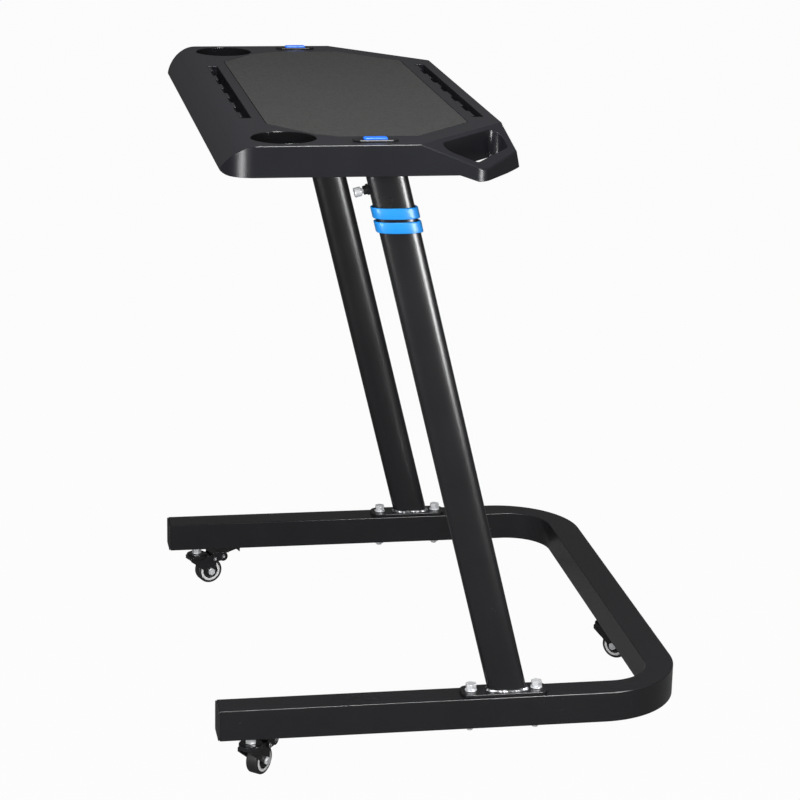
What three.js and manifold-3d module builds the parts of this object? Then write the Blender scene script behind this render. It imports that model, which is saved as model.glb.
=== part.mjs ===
// A height-adjustable desk that stands over an indoor bicycle trainer.
//
// A U-shaped tube base rolls on three braked swivel casters. Two leaning posts are bolted
// to it, a thinner tube telescopes in each of them, and a moulded plastic desk with cup
// wells, tablet slots and two grab handles rides on the inner tubes.
//
// Units are millimetres. +X points away from the rider, +Y across the desk, +Z up, and the
// origin lies on the floor under the middle of the object. Pieces are placed from the
// middle of the base, and the whole is moved last. The desk is at its lowest setting.

import * as THREE from 'three';
import { mergeVertices } from 'three/addons/utils/BufferGeometryUtils.js';
import Module from 'manifold-3d';

const wasm = await Module();
wasm.setup();

// Fits shared by all pieces
const seatGap = 0.3;          // between two pieces that rest on each other
const runGap = 0.35;          // radial play of a pin in its hole
const sharpRadius = 0.15;     // corners that are barely broken
const overrun = 6;            // how far a cutter reaches past the face that it opens

// Casters
const wheelRadius = 20;
const wheelWidth = 17;
const wheelShoulder = 2.4;
const wheelRingInner = 12;
const wheelWebDepth = 2.2;
const wheelHubRadius = 5.6;
const axleRadius = 3;
const axleHeadFlats = 10;
const axleHeadHeight = 3.6;
const forkTrail = 20;
const forkWall = 2;
const forkSideGap = 1.1;
const forkCrownGap = 2.3;
const forkCrownThickness = 3.7;
const forkAxleLug = 8;
const raceRadius = 16;
const raceHeight = 4;
const stemRadius = 4;
const stemHeadRadius = 6.5;
const stemHeadHeight = 2.4;
const stemNutFlats = 13;
const stemNutHeight = 8;
const stemReach = 13;         // from the top of the race up to the underside of the rail
const stemGrip = 9;           // thread inside the rail
const weldNutFlats = 14;
const weldNutHeight = 7;
const pedalPivotX = 26.4;     // from the stem axis, along the trail
const pedalPivotDrop = 6;     // from the top of the crown
const pedalPivotRadius = 2;
const pedalEarRadius = 5;
const pedalWall = 1.6;
const pedalLift = 2;          // from the top of the crown to the pedal's plate
const pedalReach = 72;        // from the stem axis to the pedal's end
const pedalRise = 4;
const pedalTipHalf = 10;
const pedalTipDrop = 7;
const pedalRibs = 4;
const pedalRibHeight = 0.9;
const pedalRibPitch = 3.4;
const brakeShoeX = 41;
const brakeShoeDrop = 4;      // from the top of the crown
const brakeShoeRadius = 7.4;
const rivetHeadRadius = 3.2;
const rivetHeadHeight = 1.1;
const casterFromEnd = 45;     // front stems, from the rails' open ends
const nearTurn = 50;          // how each caster came to rest, in degrees from +X
const farTurn = 18;
const rearTurn = -42;

// Base
const baseLength = 640;
const baseWidth = 774;
const railSize = 42;
const railWall = 1.6;
const railEdge = 3.5;
const bendRadius = 105;       // outer face of the bend
const spigotLength = 45;
const spigotWall = 2;
const spigotPlate = 3;
const capPlate = 2;
const capPlug = 14;
const capPlugWall = 2;
const jointScrewRadius = 3;
const jointScrewHead = 5.5;
const jointScrewHeadHeight = 3.2;
const jointScrewReach = 9;

// Feet of the posts
const footFromEnd = 382.5;    // middle of the foot plate, from the rails' open ends
const footPlateLength = 117;
const footPlateWidth = 36;
const footPlateThickness = 4;
const footPlateCorner = 12;
const footBoltSpacing = 89;
const footBoltRadius = 4;
const footBoltFlats = 13;
const footBoltHeadHeight = 5.4;
const footBoltNeckRadius = 5.6;
const footBoltNeckHeight = 2.4;
const footWasherRadius = 8;
const footWasherThickness = 1.6;
const footNutHeight = 6.5;
const footBoltTail = 3;

// Telescoping posts
const postLean = 14.25;       // degrees from upright, towards the rider
const postOffset = 4.5;       // foot of the tube, away from the middle of its plate
const postWide = 51;
const postThick = 25;
const postEdge = 11;
const postWall = 1.5;
const weldLeg = 3.2;
const innerWide = 44.4;
const innerThick = 18.4;
const innerEdge = 7.8;
const innerWall = 1.5;
const heightStep = 45.8;      // along the post, between two height holes
const heightSteps = 8;
const innerTail = 70;         // inner tube below its lowest hole
const bushingLength = 46;
const bushingFlange = 1.5;
const bandWide = 60;
const bandWall = 3;
const bandHeight = 14.2;
const bandPitch = 18.6;
const bandDrop = 53;          // from the outer tube's top to the upper band's middle

// Spring pins that lock the height
const pinDrop = 16.2;         // from the outer tube's top, along it
const pinNoseRadius = 2.7;
const pinShaftRadius = 2;
const pinNutFlats = 13;
const pinNutHeight = 3.2;
const pinBarrelRadius = 5.8;
const pinBarrelHeight = 4.2;
const pinNeckHeight = 2.8;
const pinHeadRadius = 6.2;
const pinHeadHeight = 9;
const pinHeadFlutes = 8;
const pinFluteDepth = 0.9;
const pinBevel = 0.7;
const innerHoleRadius = 3.4;

// Desk
const deskHeight = 850;       // top face above the floor, lowest setting
const deskWidth = 800;
const deskDepth = 377.5;
const deskWall = 3.2;
const deskTop = 4;
const skirtDepth = 39.5;
const deskEdgeRadius = 2.5;
const deskPostInset = 197.1;  // post axis behind the rider's edge, at the top face
const riderCorner = 42;       // radius of the rider's corners, seen from above
const noseRun = 46;
const noseDrop = 34;
const noseTurn = 65;          // degrees that the nose's face turns down
const noseFootRun = 14;
const creaseAside = 133;      // crease's start on the side face, from the away edge
const creaseAway = 147.5;     // crease's end on the away edge, from the side face
const handleSlope = 0.54;     // fall of the handle's face per unit of run
const handleSideAside = 50;   // handle's outer corner on the side, from the away edge
const handleTipOut = 11.5;    // handle's tip past the away edge
const handleTipAside = 83;    // handle's tip, from the side face
const handleRootAside = 142;  // root of the handle on the away edge, from the side face
const handleSideCorner = 13;
const handleTipCorner = 8;
const handleRootCorner = 6;
const handleDepth = 48;       // underside of the handle below the top face
const handleShoulderStart = 37;
const handleShoulderEnd = 55;
const gripCreaseGap = 6;
const gripRim = 12;
const gripAwayGap = 15;
const gripCorner = 11;
const wellRadius = 40.5;
const wellDepth = 33;
const wellWall = 3;
const wellRim = 1.6;
const wellInset = 82;         // from the rider's edge
const wellAside = 55;         // from the side face
const slotWidth = 10.5;
const slotDepth = 21;
const slotWall = 3;
const slotNotch = 4;
const slotNotchLength = 40;
const slotNotchPairs = 3;     // notches on each side of the middle one
const slotNotchCut = 11.5;    // part of the last notch that the slot's end cuts off
const riderSlotInset = 48;
const riderSlotLength = 418;
const awaySlotInset = 351;
const awaySlotLength = 430;
const ribWidth_shares = [-0.55, -0.28, 0, 0.28, 0.55];
const ribDepth_shares = [0.36, 0.68, 0.84];
const ribThickness = 2.4;
const ribDepth = 9;
const bossLength = 116;
const bossWidth = 34;
const bossDepth = 6;

// Mat
const matThickness = 1.2;
const matGroove = 0.9;
const matRiderInset = 73;
const matAwayInset = 332.6;
const matRiderHalf = 250;
const matAwayHalf = 251;
const matPostGap = 25;        // mat's side, from the posts' middle plane
const matCupInset = 121;
const matCupStep = 21;
const matCupStart = 152;
const matCreaseStart = 253;
const matCorner = 6;
const matCupCorner = 12;

// Caps over the desk bolts, and what holds the desk on the inner tubes
const capLength = 57;
const capWidth = 22;
const capOut = 6;             // outwards from the posts' middle plane
const capHeight = 2.2;
const capBevel = 1.2;
const capTaper = 8;
const insertLength = 30;
const insertWidth = 13;
const insertHeight = 4.2;
const insertBevel = 1.6;
const deskBoltHead = 6.5;
const deskBoltHeadHeight = 3.6;
const deskBoltRadius = 4;
const deskBoltReach = 16;
const bracketLength = 104;
const bracketWidth = 28;
const bracketThickness = 4;
const bracketCorner = 4;
const boltShift = 7;          // desk bolt, from the post's axis towards the rider
const barWide = 25;
const barHigh = 14.5;
const barWall = 1.5;

// Facets
const fineSegments = 40;
const wheelSegments = 24;
const discSegments = 16;
const smallSegments = 12;
const edgeSteps = 3;
const longCorner = 16;        // radius beyond which a corner gets more steps
const tubeSteps = 4;
const railSteps = 2;
const bendSteps = 10;
const noseSteps = 9;

// Sizes that follow from the ones above
const crownTop = 2 * wheelRadius + forkCrownGap + forkCrownThickness;
const raceTop = crownTop + raceHeight;
const railBottom = raceTop + stemReach;
const railTop = railBottom + railSize;
const railEndX = -baseLength / 2;
const railY = (baseWidth - railSize) / 2;
const crossX = -railEndX - railSize / 2;
const bendCentreX = -railEndX - bendRadius;
const bendCentreY = baseWidth / 2 - bendRadius;
const forkInner = wheelWidth / 2 + forkSideGap;
const forkOuter = forkInner + forkWall;
const pedalInner = forkOuter + runGap;
const pedalOuter = pedalInner + pedalWall;
const plateTop = railTop + seatGap + footPlateThickness;
const footX = railEndX + footFromEnd;
const leanAngle = THREE.MathUtils.degToRad(postLean);
const leanRun = Math.tan(leanAngle);
const skirtZ = deskHeight - skirtDepth;
const heightRange = heightStep * heightSteps;

// X of the posts' axes at a height
function postAxisX(z) {
  return footX + postOffset - (z - plateTop) * leanRun;
}

const deskEdgeX = postAxisX(deskHeight) - deskPostInset;
const postTopZ = skirtZ - seatGap;
const postTopX = postAxisX(postTopZ);
const bracketTopZ = deskHeight - deskTop - bossDepth - seatGap;
const bracketZ = bracketTopZ - bracketThickness;
const barZ = bracketZ - seatGap - barHigh / 2;
const deskBoltX = postAxisX(bracketTopZ) - boltShift;
const boltInset = deskBoltX - deskEdgeX;
const wellX = wellInset;
const matHalf = railY - matPostGap;
const capY = railY + capOut;
const wellY = deskWidth / 2 - wellAside;
const footBoltPlaces = [footX - footBoltSpacing / 2, footX + footBoltSpacing / 2];

// Materials
function paint(color, roughness, metalness) {
  return new THREE.MeshStandardMaterial({ color, roughness, metalness });
}

const blackCoat = paint(0x26272a, 0.42, 0.3);
const blackPlastic = paint(0x2b2c30, 0.55, 0);
const matRubber = paint(0x474747, 0.85, 0);
const bluePlastic = paint(0x2ba0ff, 0.35, 0);
const capBlue = paint(0x1f6bf0, 0.35, 0);
const capBlack = paint(0x17181a, 0.25, 0);
const zinc = paint(0xc9ccd0, 0.3, 0.9);
const tyreBlack = paint(0x242528, 0.7, 0);

// Turns a closed geometry into a solid that can be joined and cut
function toSolid(geometry) {
  const bare = geometry.index ? geometry.toNonIndexed() : geometry.clone();
  bare.deleteAttribute('normal');
  bare.deleteAttribute('uv');
  const welded = mergeVertices(bare);
  return new wasm.Manifold(new wasm.Mesh({
    numProp: 3,
    vertProperties: new Float32Array(welded.attributes.position.array),
    triVerts: new Uint32Array(welded.index.array),
  }));
}

// Turns a solid back into a geometry
function toGeometry(solid) {
  const mesh = solid.getMesh();
  const geometry = new THREE.BufferGeometry();
  const positions = new Float32Array(mesh.vertProperties);
  geometry.setAttribute('position', new THREE.BufferAttribute(positions, 3));
  geometry.setIndex(new THREE.BufferAttribute(new Uint32Array(mesh.triVerts), 1));
  geometry.computeVertexNormals();
  return geometry;
}

function joined(...solids) {
  return solids.reduce((sum, next) => sum.add(next));
}

function cutBy(solid, ...cutters) {
  return cutters.reduce((rest, next) => rest.subtract(next), solid);
}

// The same solid, moved by a matrix
function moved(solid, matrix) {
  return toSolid(toGeometry(solid).applyMatrix4(matrix));
}

function shifted(solid, x, y, z) {
  return moved(solid, new THREE.Matrix4().makeTranslation(x, y, z));
}

// The mirror image across the middle of the desk
function mirrored(solid) {
  const corners = toGeometry(solid).toNonIndexed().scale(1, -1, 1).attributes.position;
  const points = [];
  for (let i = 0; i < corners.count; i += 3) {
    for (const k of [i, i + 2, i + 1]) {
      points.push(new THREE.Vector3().fromBufferAttribute(corners, k));
    }
  }
  return toSolid(new THREE.BufferGeometry().setFromPoints(points));
}

// A box between two corners
function block(low, high) {
  const size = high.map((value, i) => value - low[i]);
  const centre = high.map((value, i) => (value + low[i]) / 2);
  const geometry = new THREE.BoxGeometry(...size);
  geometry.translate(...centre);
  return toSolid(geometry);
}

// An upright cylinder on the Z axis
function disc(radius, low, high, segments = discSegments) {
  const geometry = new THREE.CylinderGeometry(radius, radius, high - low, segments);
  geometry.rotateX(Math.PI / 2);
  geometry.translate(0, 0, (low + high) / 2);
  return toSolid(geometry);
}

// An upright hexagon prism, by its width across the flats
function hexagon(flats, low, high) {
  return disc(flats / Math.sqrt(3), low, high, 6);
}

// A cylinder along Y, centred at a place in X and Z
function across(radius, reach, x, z, segments = smallSegments) {
  const geometry = new THREE.CylinderGeometry(radius, radius, 2 * reach, segments);
  geometry.translate(x, 0, z);
  return toSolid(geometry);
}

function extruded(outline, length) {
  const shape = Array.isArray(outline) ? new THREE.Shape(outline) : outline;
  const settings = { depth: length, bevelEnabled: false, curveSegments: edgeSteps };
  return new THREE.ExtrudeGeometry(shape, settings);
}

// A flat outline in X and Y, raised from low to high
function plate(outline, low, high) {
  return toSolid(extruded(outline, high - low).translate(0, 0, low));
}

// An outline in X and Z, carried along Y from low to high
function profile(outline, low, high) {
  return toSolid(extruded(outline, high - low).rotateX(Math.PI / 2).translate(0, high, 0));
}

// A profile of [radius, height] pairs that starts and ends on the axis, turned about Z
function turned(pairs, segments) {
  const points = pairs.map(([r, z]) => new THREE.Vector2(r, z));
  return toSolid(new THREE.LatheGeometry(points, segments).rotateX(Math.PI / 2));
}

// Where two lines meet
function crossing(first, second) {
  const gap = second.point.clone().sub(first.point);
  const run = gap.cross(second.along) / first.along.cross(second.along);
  return first.point.clone().addScaledVector(first.along, run);
}

// The line from one corner to the next, moved inwards
function edgeLine([x, y], [nextX, nextY], inset) {
  const along = new THREE.Vector2(nextX - x, nextY - y).normalize();
  const inward = new THREE.Vector2(-along.y, along.x);
  return { along, point: new THREE.Vector2(x, y).addScaledVector(inward, inset) };
}

// The points of an outline of [x, y, radius] corners, in anticlockwise order, moved inwards
// and rounded. A negative radius marks a hollow corner.
function rounded(corners, inset = 0, steps = edgeSteps) {
  const last = corners.length - 1;
  const lines = corners.map((corner, i) => edgeLine(corner, corners[i < last ? i + 1 : 0], inset));
  return corners.flatMap(([, , wanted], i) => {
    const before = lines[i > 0 ? i - 1 : last];
    const corner = crossing(before, lines[i]);
    const side = wanted > 0 ? 1 : -1;
    const radius = Math.max(Math.abs(wanted) - side * inset, sharpRadius);
    const bend = Math.abs(before.along.cross(lines[i].along));
    const turn = Math.atan2(bend, before.along.dot(lines[i].along));
    const start = corner.addScaledVector(before.along, -radius * Math.tan(turn / 2));
    const normal = new THREE.Vector2(-before.along.y, before.along.x);
    const centre = start.clone().addScaledVector(normal, side * radius);
    const count = steps + Math.floor(Math.abs(wanted) / longCorner);
    const arc = [];
    for (let step = 0; step <= count; step++) {
      arc.push(start.clone().rotateAround(centre, side * turn * step / count));
    }
    return arc;
  });
}

// A rectangle with round corners about the origin
function rectangle(width, height, corner, steps = edgeSteps) {
  const x = width / 2;
  const y = height / 2;
  const corners = [[-x, -y, corner], [x, -y, corner], [x, y, corner], [-x, y, corner]];
  return rounded(corners, 0, steps);
}

// The flat-sided oval of a post tube, grown or shrunk all round
function oval(width, thickness, edge, grow = 0) {
  return rectangle(width + 2 * grow, thickness + 2 * grow, edge + grow, tubeSteps);
}

// A solid from points and triangles, turned outwards if they face in
function fromTriangles(points, triangles) {
  let volume = 0;
  for (const [a, b, c] of triangles) {
    volume += points[a].dot(points[b].clone().cross(points[c]));
  }
  const order = volume < 0 ? triangles.map(([a, b, c]) => [a, c, b]) : triangles;
  const corners = order.flat().map((i) => points[i]);
  return toSolid(new THREE.BufferGeometry().setFromPoints(corners));
}

// The walls between rings of points that all have the same count
function ringWalls(rings) {
  const count = rings[0].length;
  const triangles = [];
  for (let r = 0; r < rings.length - 1; r++) {
    for (let i = 0; i < count; i++) {
      const a = r * count + i;
      const b = r * count + (i + 1) % count;
      triangles.push([a, b, b + count], [a, b + count, a + count]);
    }
  }
  return triangles;
}

// A closed solid through rings of points, whose first and last ring are convex
function loft(rings) {
  const count = rings[0].length;
  const triangles = ringWalls(rings);
  const last = count * (rings.length - 1);
  for (let i = 1; i < count - 1; i++) {
    triangles.push([0, i + 1, i], [last, last + i, last + i + 1]);
  }
  return fromTriangles(rings.flat(), triangles);
}

// Groups of the model
const trainerDesk = new THREE.Group();
const standing = new THREE.Group();
trainerDesk.add(standing);

function addGroup(x, y, z) {
  const group = new THREE.Group();
  group.position.set(x, y, z);
  standing.add(group);
  return group;
}

function addPiece(group, name, solid, material, x = 0, y = 0, z = 0) {
  const mesh = new THREE.Mesh(toGeometry(solid), material);
  mesh.name = name;
  mesh.position.set(x, y, z);
  group.add(mesh);
}

// Base rails. All are built about the middle of the base, with Z from the floor.

const railCentreZ = railBottom + railSize / 2;

// A square section carried along the near side and round the bend to the seam
function railSweep(section, startX) {
  const middle = bendRadius - railSize / 2;
  const rings = [section.map((p) => new THREE.Vector3(startX, -railY - p.x, railCentreZ + p.y))];
  for (let step = 0; step <= bendSteps; step++) {
    const turn = step / bendSteps * Math.PI / 2;
    rings.push(section.map((p) => new THREE.Vector3(
      bendCentreX + (middle + p.x) * Math.sin(turn),
      -bendCentreY - (middle + p.x) * Math.cos(turn),
      railCentreZ + p.y,
    )));
  }
  return loft(rings);
}

// Nut welded inside the bottom of a rail for a caster's stem
function weldNut() {
  const low = railBottom + railWall / 2;
  return hexagon(weldNutFlats, low, low + weldNutHeight);
}

function holeThroughBottom(radius, x, y) {
  return shifted(disc(radius, railBottom - overrun, railCentreZ, smallSegments), x, y, 0);
}

// Bent side rail, with a closed seam end that carries the spigot for the cross rail
function sideRail() {
  const bore = railSize - 2 * railWall;
  const tube = cutBy(
    railSweep(rectangle(railSize, railSize, railEdge, railSteps), railEndX + capPlate + seatGap),
    railSweep(rectangle(bore, bore, railWall, 1), railEndX - overrun),
  );
  const seam = -bendCentreY;
  const plug = bore / 2 + railWall / 2;
  const spigot = bore - 2 * seatGap;
  const hollow = spigot - 2 * spigotWall;
  const endPlate = block(
    [crossX - plug, seam - spigotPlate, railCentreZ - plug],
    [crossX + plug, seam, railCentreZ + plug],
  );
  const spigotTube = cutBy(
    profile(rectangle(spigot, spigot, railWall, 1), seam - spigotPlate, seam + spigotLength),
    profile(rectangle(hollow, hollow, railWall, 1), seam, seam + spigotLength + overrun),
  );
  const stemX = railEndX + casterFromEnd;
  const boltHole = disc(footBoltRadius + runGap, railBottom - overrun, railTop + overrun, smallSegments);
  return cutBy(
    joined(
      tube,
      endPlate,
      shifted(spigotTube, crossX, 0, railCentreZ),
      shifted(weldNut(), stemX, -railY, 0),
    ),
    holeThroughBottom(stemRadius + runGap, stemX, -railY),
    holeThroughBottom(jointScrewRadius + runGap, crossX, seam + spigotLength / 2),
    ...footBoltPlaces.map((x) => shifted(boltHole, x, -railY, 0)),
  );
}

// Straight tube between the two seams, with the rear caster's nut in the middle
function crossRail() {
  const reach = bendCentreY - seatGap;
  const bore = railSize - 2 * railWall;
  const tube = cutBy(
    profile(rectangle(railSize, railSize, railEdge, railSteps), -reach, reach),
    profile(rectangle(bore, bore, railWall, 1), -reach - overrun, reach + overrun),
  );
  const screwY = bendCentreY - spigotLength / 2;
  return cutBy(
    joined(shifted(tube, crossX, 0, railCentreZ), shifted(weldNut(), crossX, 0, 0)),
    holeThroughBottom(stemRadius + runGap, crossX, 0),
    holeThroughBottom(jointScrewRadius + runGap, crossX, -screwY),
    holeThroughBottom(jointScrewRadius + runGap, crossX, screwY),
  );
}

// Screw that holds a spigot in the cross rail, from below
function jointScrew() {
  const head = railBottom - seatGap;
  const bevel = jointScrewHeadHeight / 3;
  return turned([
    [0, head - jointScrewHeadHeight],
    [jointScrewHead - bevel, head - jointScrewHeadHeight],
    [jointScrewHead, head - jointScrewHeadHeight + bevel],
    [jointScrewHead, head],
    [jointScrewRadius, head],
    [jointScrewRadius, head + jointScrewReach],
    [0, head + jointScrewReach],
  ], smallSegments);
}

// Plastic plug in a rail's open end, built upright and then laid along the rail
function railCap() {
  const plugSize = railSize - 2 * (railWall + seatGap);
  const hollowSize = plugSize - 2 * capPlugWall;
  const deep = capPlate + capPlug;
  const upright = cutBy(
    joined(
      plate(rectangle(railSize, railSize, railEdge, railSteps), 0, capPlate),
      plate(rectangle(plugSize, plugSize, railWall, 1), capPlate / 2, deep),
    ),
    plate(rectangle(hollowSize, hollowSize, railWall, 1), capPlate, deep + overrun),
  );
  return moved(upright, new THREE.Matrix4().makeRotationY(Math.PI / 2));
}

// Posts. These are built about the rail's middle line, with X from the base's middle.

// A ring of an outline, level at a height and centred on the post's leaning axis
function levelRing(outline, z) {
  return outline.map((p) => new THREE.Vector3(postAxisX(z) + p.x, p.y, z));
}

// A solid built on the leaning axis, brought level from the outer tube's top
function leaned(solid) {
  const matrix = new THREE.Matrix4().makeRotationY(-leanAngle);
  return moved(solid, matrix.setPosition(postTopX, 0, postTopZ));
}

// The half space above or below a height, as far as the object reaches
function slab(low, high) {
  return block([-baseLength, -baseWidth, low], [baseLength, baseWidth, high]);
}

// Weld bead where the tube meets its plate, widest at the foot
function weldBead() {
  const footOval = (grow) => oval(postWide / Math.cos(leanAngle), postThick, postEdge, grow);
  const low = plateTop - footPlateThickness / 2;
  return loft([
    levelRing(footOval(weldLeg), low),
    levelRing(footOval(weldLeg), plateTop + weldLeg / 4),
    levelRing(footOval(weldLeg / 2), plateTop + weldLeg),
    levelRing(footOval(0), plateTop + weldLeg * 3 / 2),
  ]);
}

// A round hole towards the rider through one side of a tube, at a distance down the post
function riderHole(radius, below, segments = smallSegments) {
  return shifted(pointedAtRider(disc(radius, 0, postWide, segments)), 0, 0, -below);
}

function pointedAtRider(solid) {
  return moved(solid, new THREE.Matrix4().makeRotationY(-Math.PI / 2));
}

// Outer tube with its foot plate, weld and the hole for the spring pin
function outerPost() {
  const far = -2 * postTopZ;
  const inside = plateTop - footPlateThickness / 2;
  const tube = leaned(plate(oval(postWide, postThick, postEdge), far, 0));
  const bore = leaned(plate(oval(postWide, postThick, postEdge, -postWall), far, overrun));
  const foot = rectangle(footPlateLength, footPlateWidth, footPlateCorner);
  const boltHole = disc(footBoltRadius + runGap, 0, deskHeight, smallSegments);
  const body = joined(
    cutBy(tube, slab(-deskHeight, inside)),
    weldBead(),
    shifted(plate(foot, plateTop - footPlateThickness, plateTop), footX, 0, 0),
  );
  return cutBy(
    body,
    cutBy(bore, slab(-deskHeight, plateTop)),
    leaned(riderHole(pinNoseRadius + runGap, pinDrop)),
    ...footBoltPlaces.map((x) => shifted(boltHole, x, 0, 0)),
  );
}

// Plastic guide between the two tubes, with a rim on the outer tube's end
function postBushing() {
  const skirt = oval(postWide, postThick, postEdge, -postWall - seatGap);
  const slide = oval(innerWide, innerThick, innerEdge, seatGap);
  return cutBy(
    joined(
      plate(skirt, -bushingLength, bushingFlange),
      plate(oval(postWide, postThick, postEdge), seatGap, seatGap + bushingFlange),
    ),
    plate(slide, -bushingLength - overrun, overrun),
    riderHole(pinNoseRadius + runGap, pinDrop),
  );
}

// Band round the outer tube. Its rims are level and its walls follow the lean.
function postBand(index) {
  const middle = postTopZ - (bandDrop + index * bandPitch) * Math.cos(leanAngle);
  const half = bandHeight / 2;
  const thickness = postThick + 2 * (seatGap + bandWall);
  const edge = thickness / 2 - bandWall / 2;
  const outer = oval(bandWide, thickness, edge);
  const inner = oval(bandWide, thickness, edge, -bandWall);
  return cutBy(
    loft([levelRing(outer, middle - half), levelRing(outer, middle + half)]),
    loft([levelRing(inner, middle - 2 * half), levelRing(inner, middle + 2 * half)]),
  );
}

// Nut and barrel of the spring pin, cut to sit on the tube's round edge
function pinHousing() {
  const start = (postWide - postEdge) / 2;
  const nutTop = postWide / 2 + pinNutHeight;
  const barrelTop = nutTop + pinBarrelHeight;
  const upright = cutBy(
    joined(hexagon(pinNutFlats, start, nutTop), disc(pinBarrelRadius, start, barrelTop)),
    disc(pinNoseRadius + runGap, 0, barrelTop + overrun, smallSegments),
  );
  const tube = plate(oval(postWide, postThick, postEdge, seatGap), -postWide, postWide);
  return cutBy(pointedAtRider(upright), tube);
}

// Fluted knob with its neck, shaft and nose
function pinPlunger() {
  const tip = innerWide / 2 + seatGap;
  const shoulder = postWide / 2 + pinNutHeight;
  const headBase = shoulder + pinBarrelHeight + pinNeckHeight;
  const headTop = headBase + pinHeadHeight;
  const turning = turned([
    [0, tip],
    [pinNoseRadius - pinBevel, tip],
    [pinNoseRadius, tip + pinBevel],
    [pinNoseRadius, shoulder],
    [pinShaftRadius, shoulder],
    [pinShaftRadius, headBase],
    [pinHeadRadius - pinBevel, headBase],
    [pinHeadRadius, headBase + pinBevel],
    [pinHeadRadius, headTop - pinBevel],
    [pinHeadRadius - pinBevel, headTop],
    [0, headTop],
  ], 2 * pinHeadFlutes);
  const groove = disc(pinFluteDepth, headBase - overrun, headTop + overrun, 4);
  const grooves = [];
  for (let i = 0; i < pinHeadFlutes; i++) {
    const turn = (i + 1 / 2) / pinHeadFlutes * Math.PI * 2;
    const out = pinHeadRadius + pinFluteDepth / 3;
    grooves.push(shifted(groove, out * Math.cos(turn), out * Math.sin(turn), 0));
  }
  return pointedAtRider(cutBy(turning, ...grooves));
}

// Inner tube with its row of height holes and the bracket under the desk
function innerPost() {
  const lowest = pinDrop + heightRange + innerTail;
  const reach = deskHeight - postTopZ + innerWide;
  const holes = [];
  for (let step = 0; step <= heightSteps; step++) {
    holes.push(riderHole(innerHoleRadius, pinDrop + step * heightStep, 8));
  }
  const tube = cutBy(
    plate(oval(innerWide, innerThick, innerEdge), -lowest, reach),
    plate(oval(innerWide, innerThick, innerEdge, -innerWall), -lowest - overrun, reach + overrun),
    ...holes,
  );
  const bracket = rectangle(bracketLength, bracketWidth, bracketCorner);
  const boltHole = disc(deskBoltRadius + runGap, bracketZ - overrun, deskHeight, smallSegments);
  return cutBy(
    joined(
      cutBy(leaned(tube), slab(bracketZ + bracketThickness / 2, 2 * deskHeight)),
      shifted(plate(bracket, bracketZ, bracketTopZ), deskBoltX, 0, 0),
    ),
    shifted(boltHole, deskBoltX, 0, 0),
  );
}

// Square bar that ties the two inner tubes together under the desk
function supportBar() {
  const reach = railY - innerThick / 2 - seatGap;
  return cutBy(
    profile(rectangle(barWide, barHigh, barWall, railSteps), -reach, reach),
    profile(
      rectangle(barWide - 2 * barWall, barHigh - 2 * barWall, barWall / 2, 1),
      -reach - overrun,
      reach + overrun,
    ),
  );
}

// Bolt through the foot plate and the rail, built with Z from the floor
function footBolt() {
  const seat = plateTop + footWasherThickness + 2 * seatGap;
  const head = seat + footBoltNeckHeight;
  const tail = railBottom - seatGap - footNutHeight - footBoltTail;
  const top = head + footBoltHeadHeight;
  return joined(
    disc(footBoltRadius, tail, head, smallSegments),
    disc(footBoltNeckRadius, seat, head),
    hexagon(footBoltFlats, head - seatGap, top),
  );
}

function footWasher() {
  const low = plateTop + seatGap;
  return cutBy(
    disc(footWasherRadius, low, low + footWasherThickness),
    disc(footBoltRadius + runGap, 0, deskHeight, smallSegments),
  );
}

function footNut() {
  const top = railBottom - seatGap;
  return cutBy(
    hexagon(footBoltFlats, top - footNutHeight, top),
    disc(footBoltRadius + runGap, 0, deskHeight, smallSegments),
  );
}

// Desk. X runs from the rider's edge and Z from the top face.

const halfDesk = deskWidth / 2;

// Corners of the desk seen from above, from the near rider's corner on
const nearCorners = [
  [0, -halfDesk, riderCorner],
  [deskDepth - handleSideAside, -halfDesk, handleSideCorner],
  [deskDepth + handleTipOut, -halfDesk + handleTipAside, handleTipCorner],
  [deskDepth, -halfDesk + handleRootAside, -handleRootCorner],
];

// The near half's corners followed by their mirror images
function bothHalves(near) {
  const far = near.map(([x, y, r]) => [x, -y, r]).reverse();
  return [...near, ...far];
}

const deskCorners = bothHalves(nearCorners);

// The crease that parts the near handle from the flat top
const creaseStart = new THREE.Vector2(deskDepth - creaseAside, -halfDesk);
const creaseEnd = new THREE.Vector2(deskDepth, -halfDesk + creaseAway);
const creaseAlong = creaseEnd.clone().sub(creaseStart).normalize();
const creaseOut = new THREE.Vector2(creaseAlong.y, -creaseAlong.x);

// Distance past the crease, of the handle on the point's own side
function pastCrease(point) {
  const near = new THREE.Vector2(point.x, -Math.abs(point.y));
  return near.sub(creaseStart).dot(creaseOut);
}

// The desk's outline with a point added wherever a crease meets it
function creasedOutline(inset) {
  const points = rounded(deskCorners, inset);
  return points.flatMap((point, i) => {
    const next = points[(i + 1) % points.length];
    const middle = point.clone().add(next).divideScalar(2);
    const stops = point.y * next.y < 0 ? [point, middle, next] : [point, next];
    const added = [];
    for (let k = 0; k < stops.length - 1; k++) {
      const here = pastCrease(stops[k]);
      const there = pastCrease(stops[k + 1]);
      if (here * there < 0) {
        added.push(stops[k].clone().lerp(stops[k + 1], here / (here - there)));
      }
    }
    return [point, ...added];
  });
}

// Triangles that fill a creased outline, in three parts that meet at the creases
function creasedFaces(outline) {
  const parts = [
    (p) => pastCrease(p) < sharpRadius,
    (p) => pastCrease(p) > -sharpRadius && p.y < 0,
    (p) => pastCrease(p) > -sharpRadius && p.y > 0,
  ];
  return parts.flatMap((belongs) => {
    const members = outline.map((p, i) => i).filter((i) => belongs(outline[i]));
    const faces = THREE.ShapeUtils.triangulateShape(members.map((i) => outline[i]), []);
    return faces.map((face) => face.map((i) => members[i]));
  });
}

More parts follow.
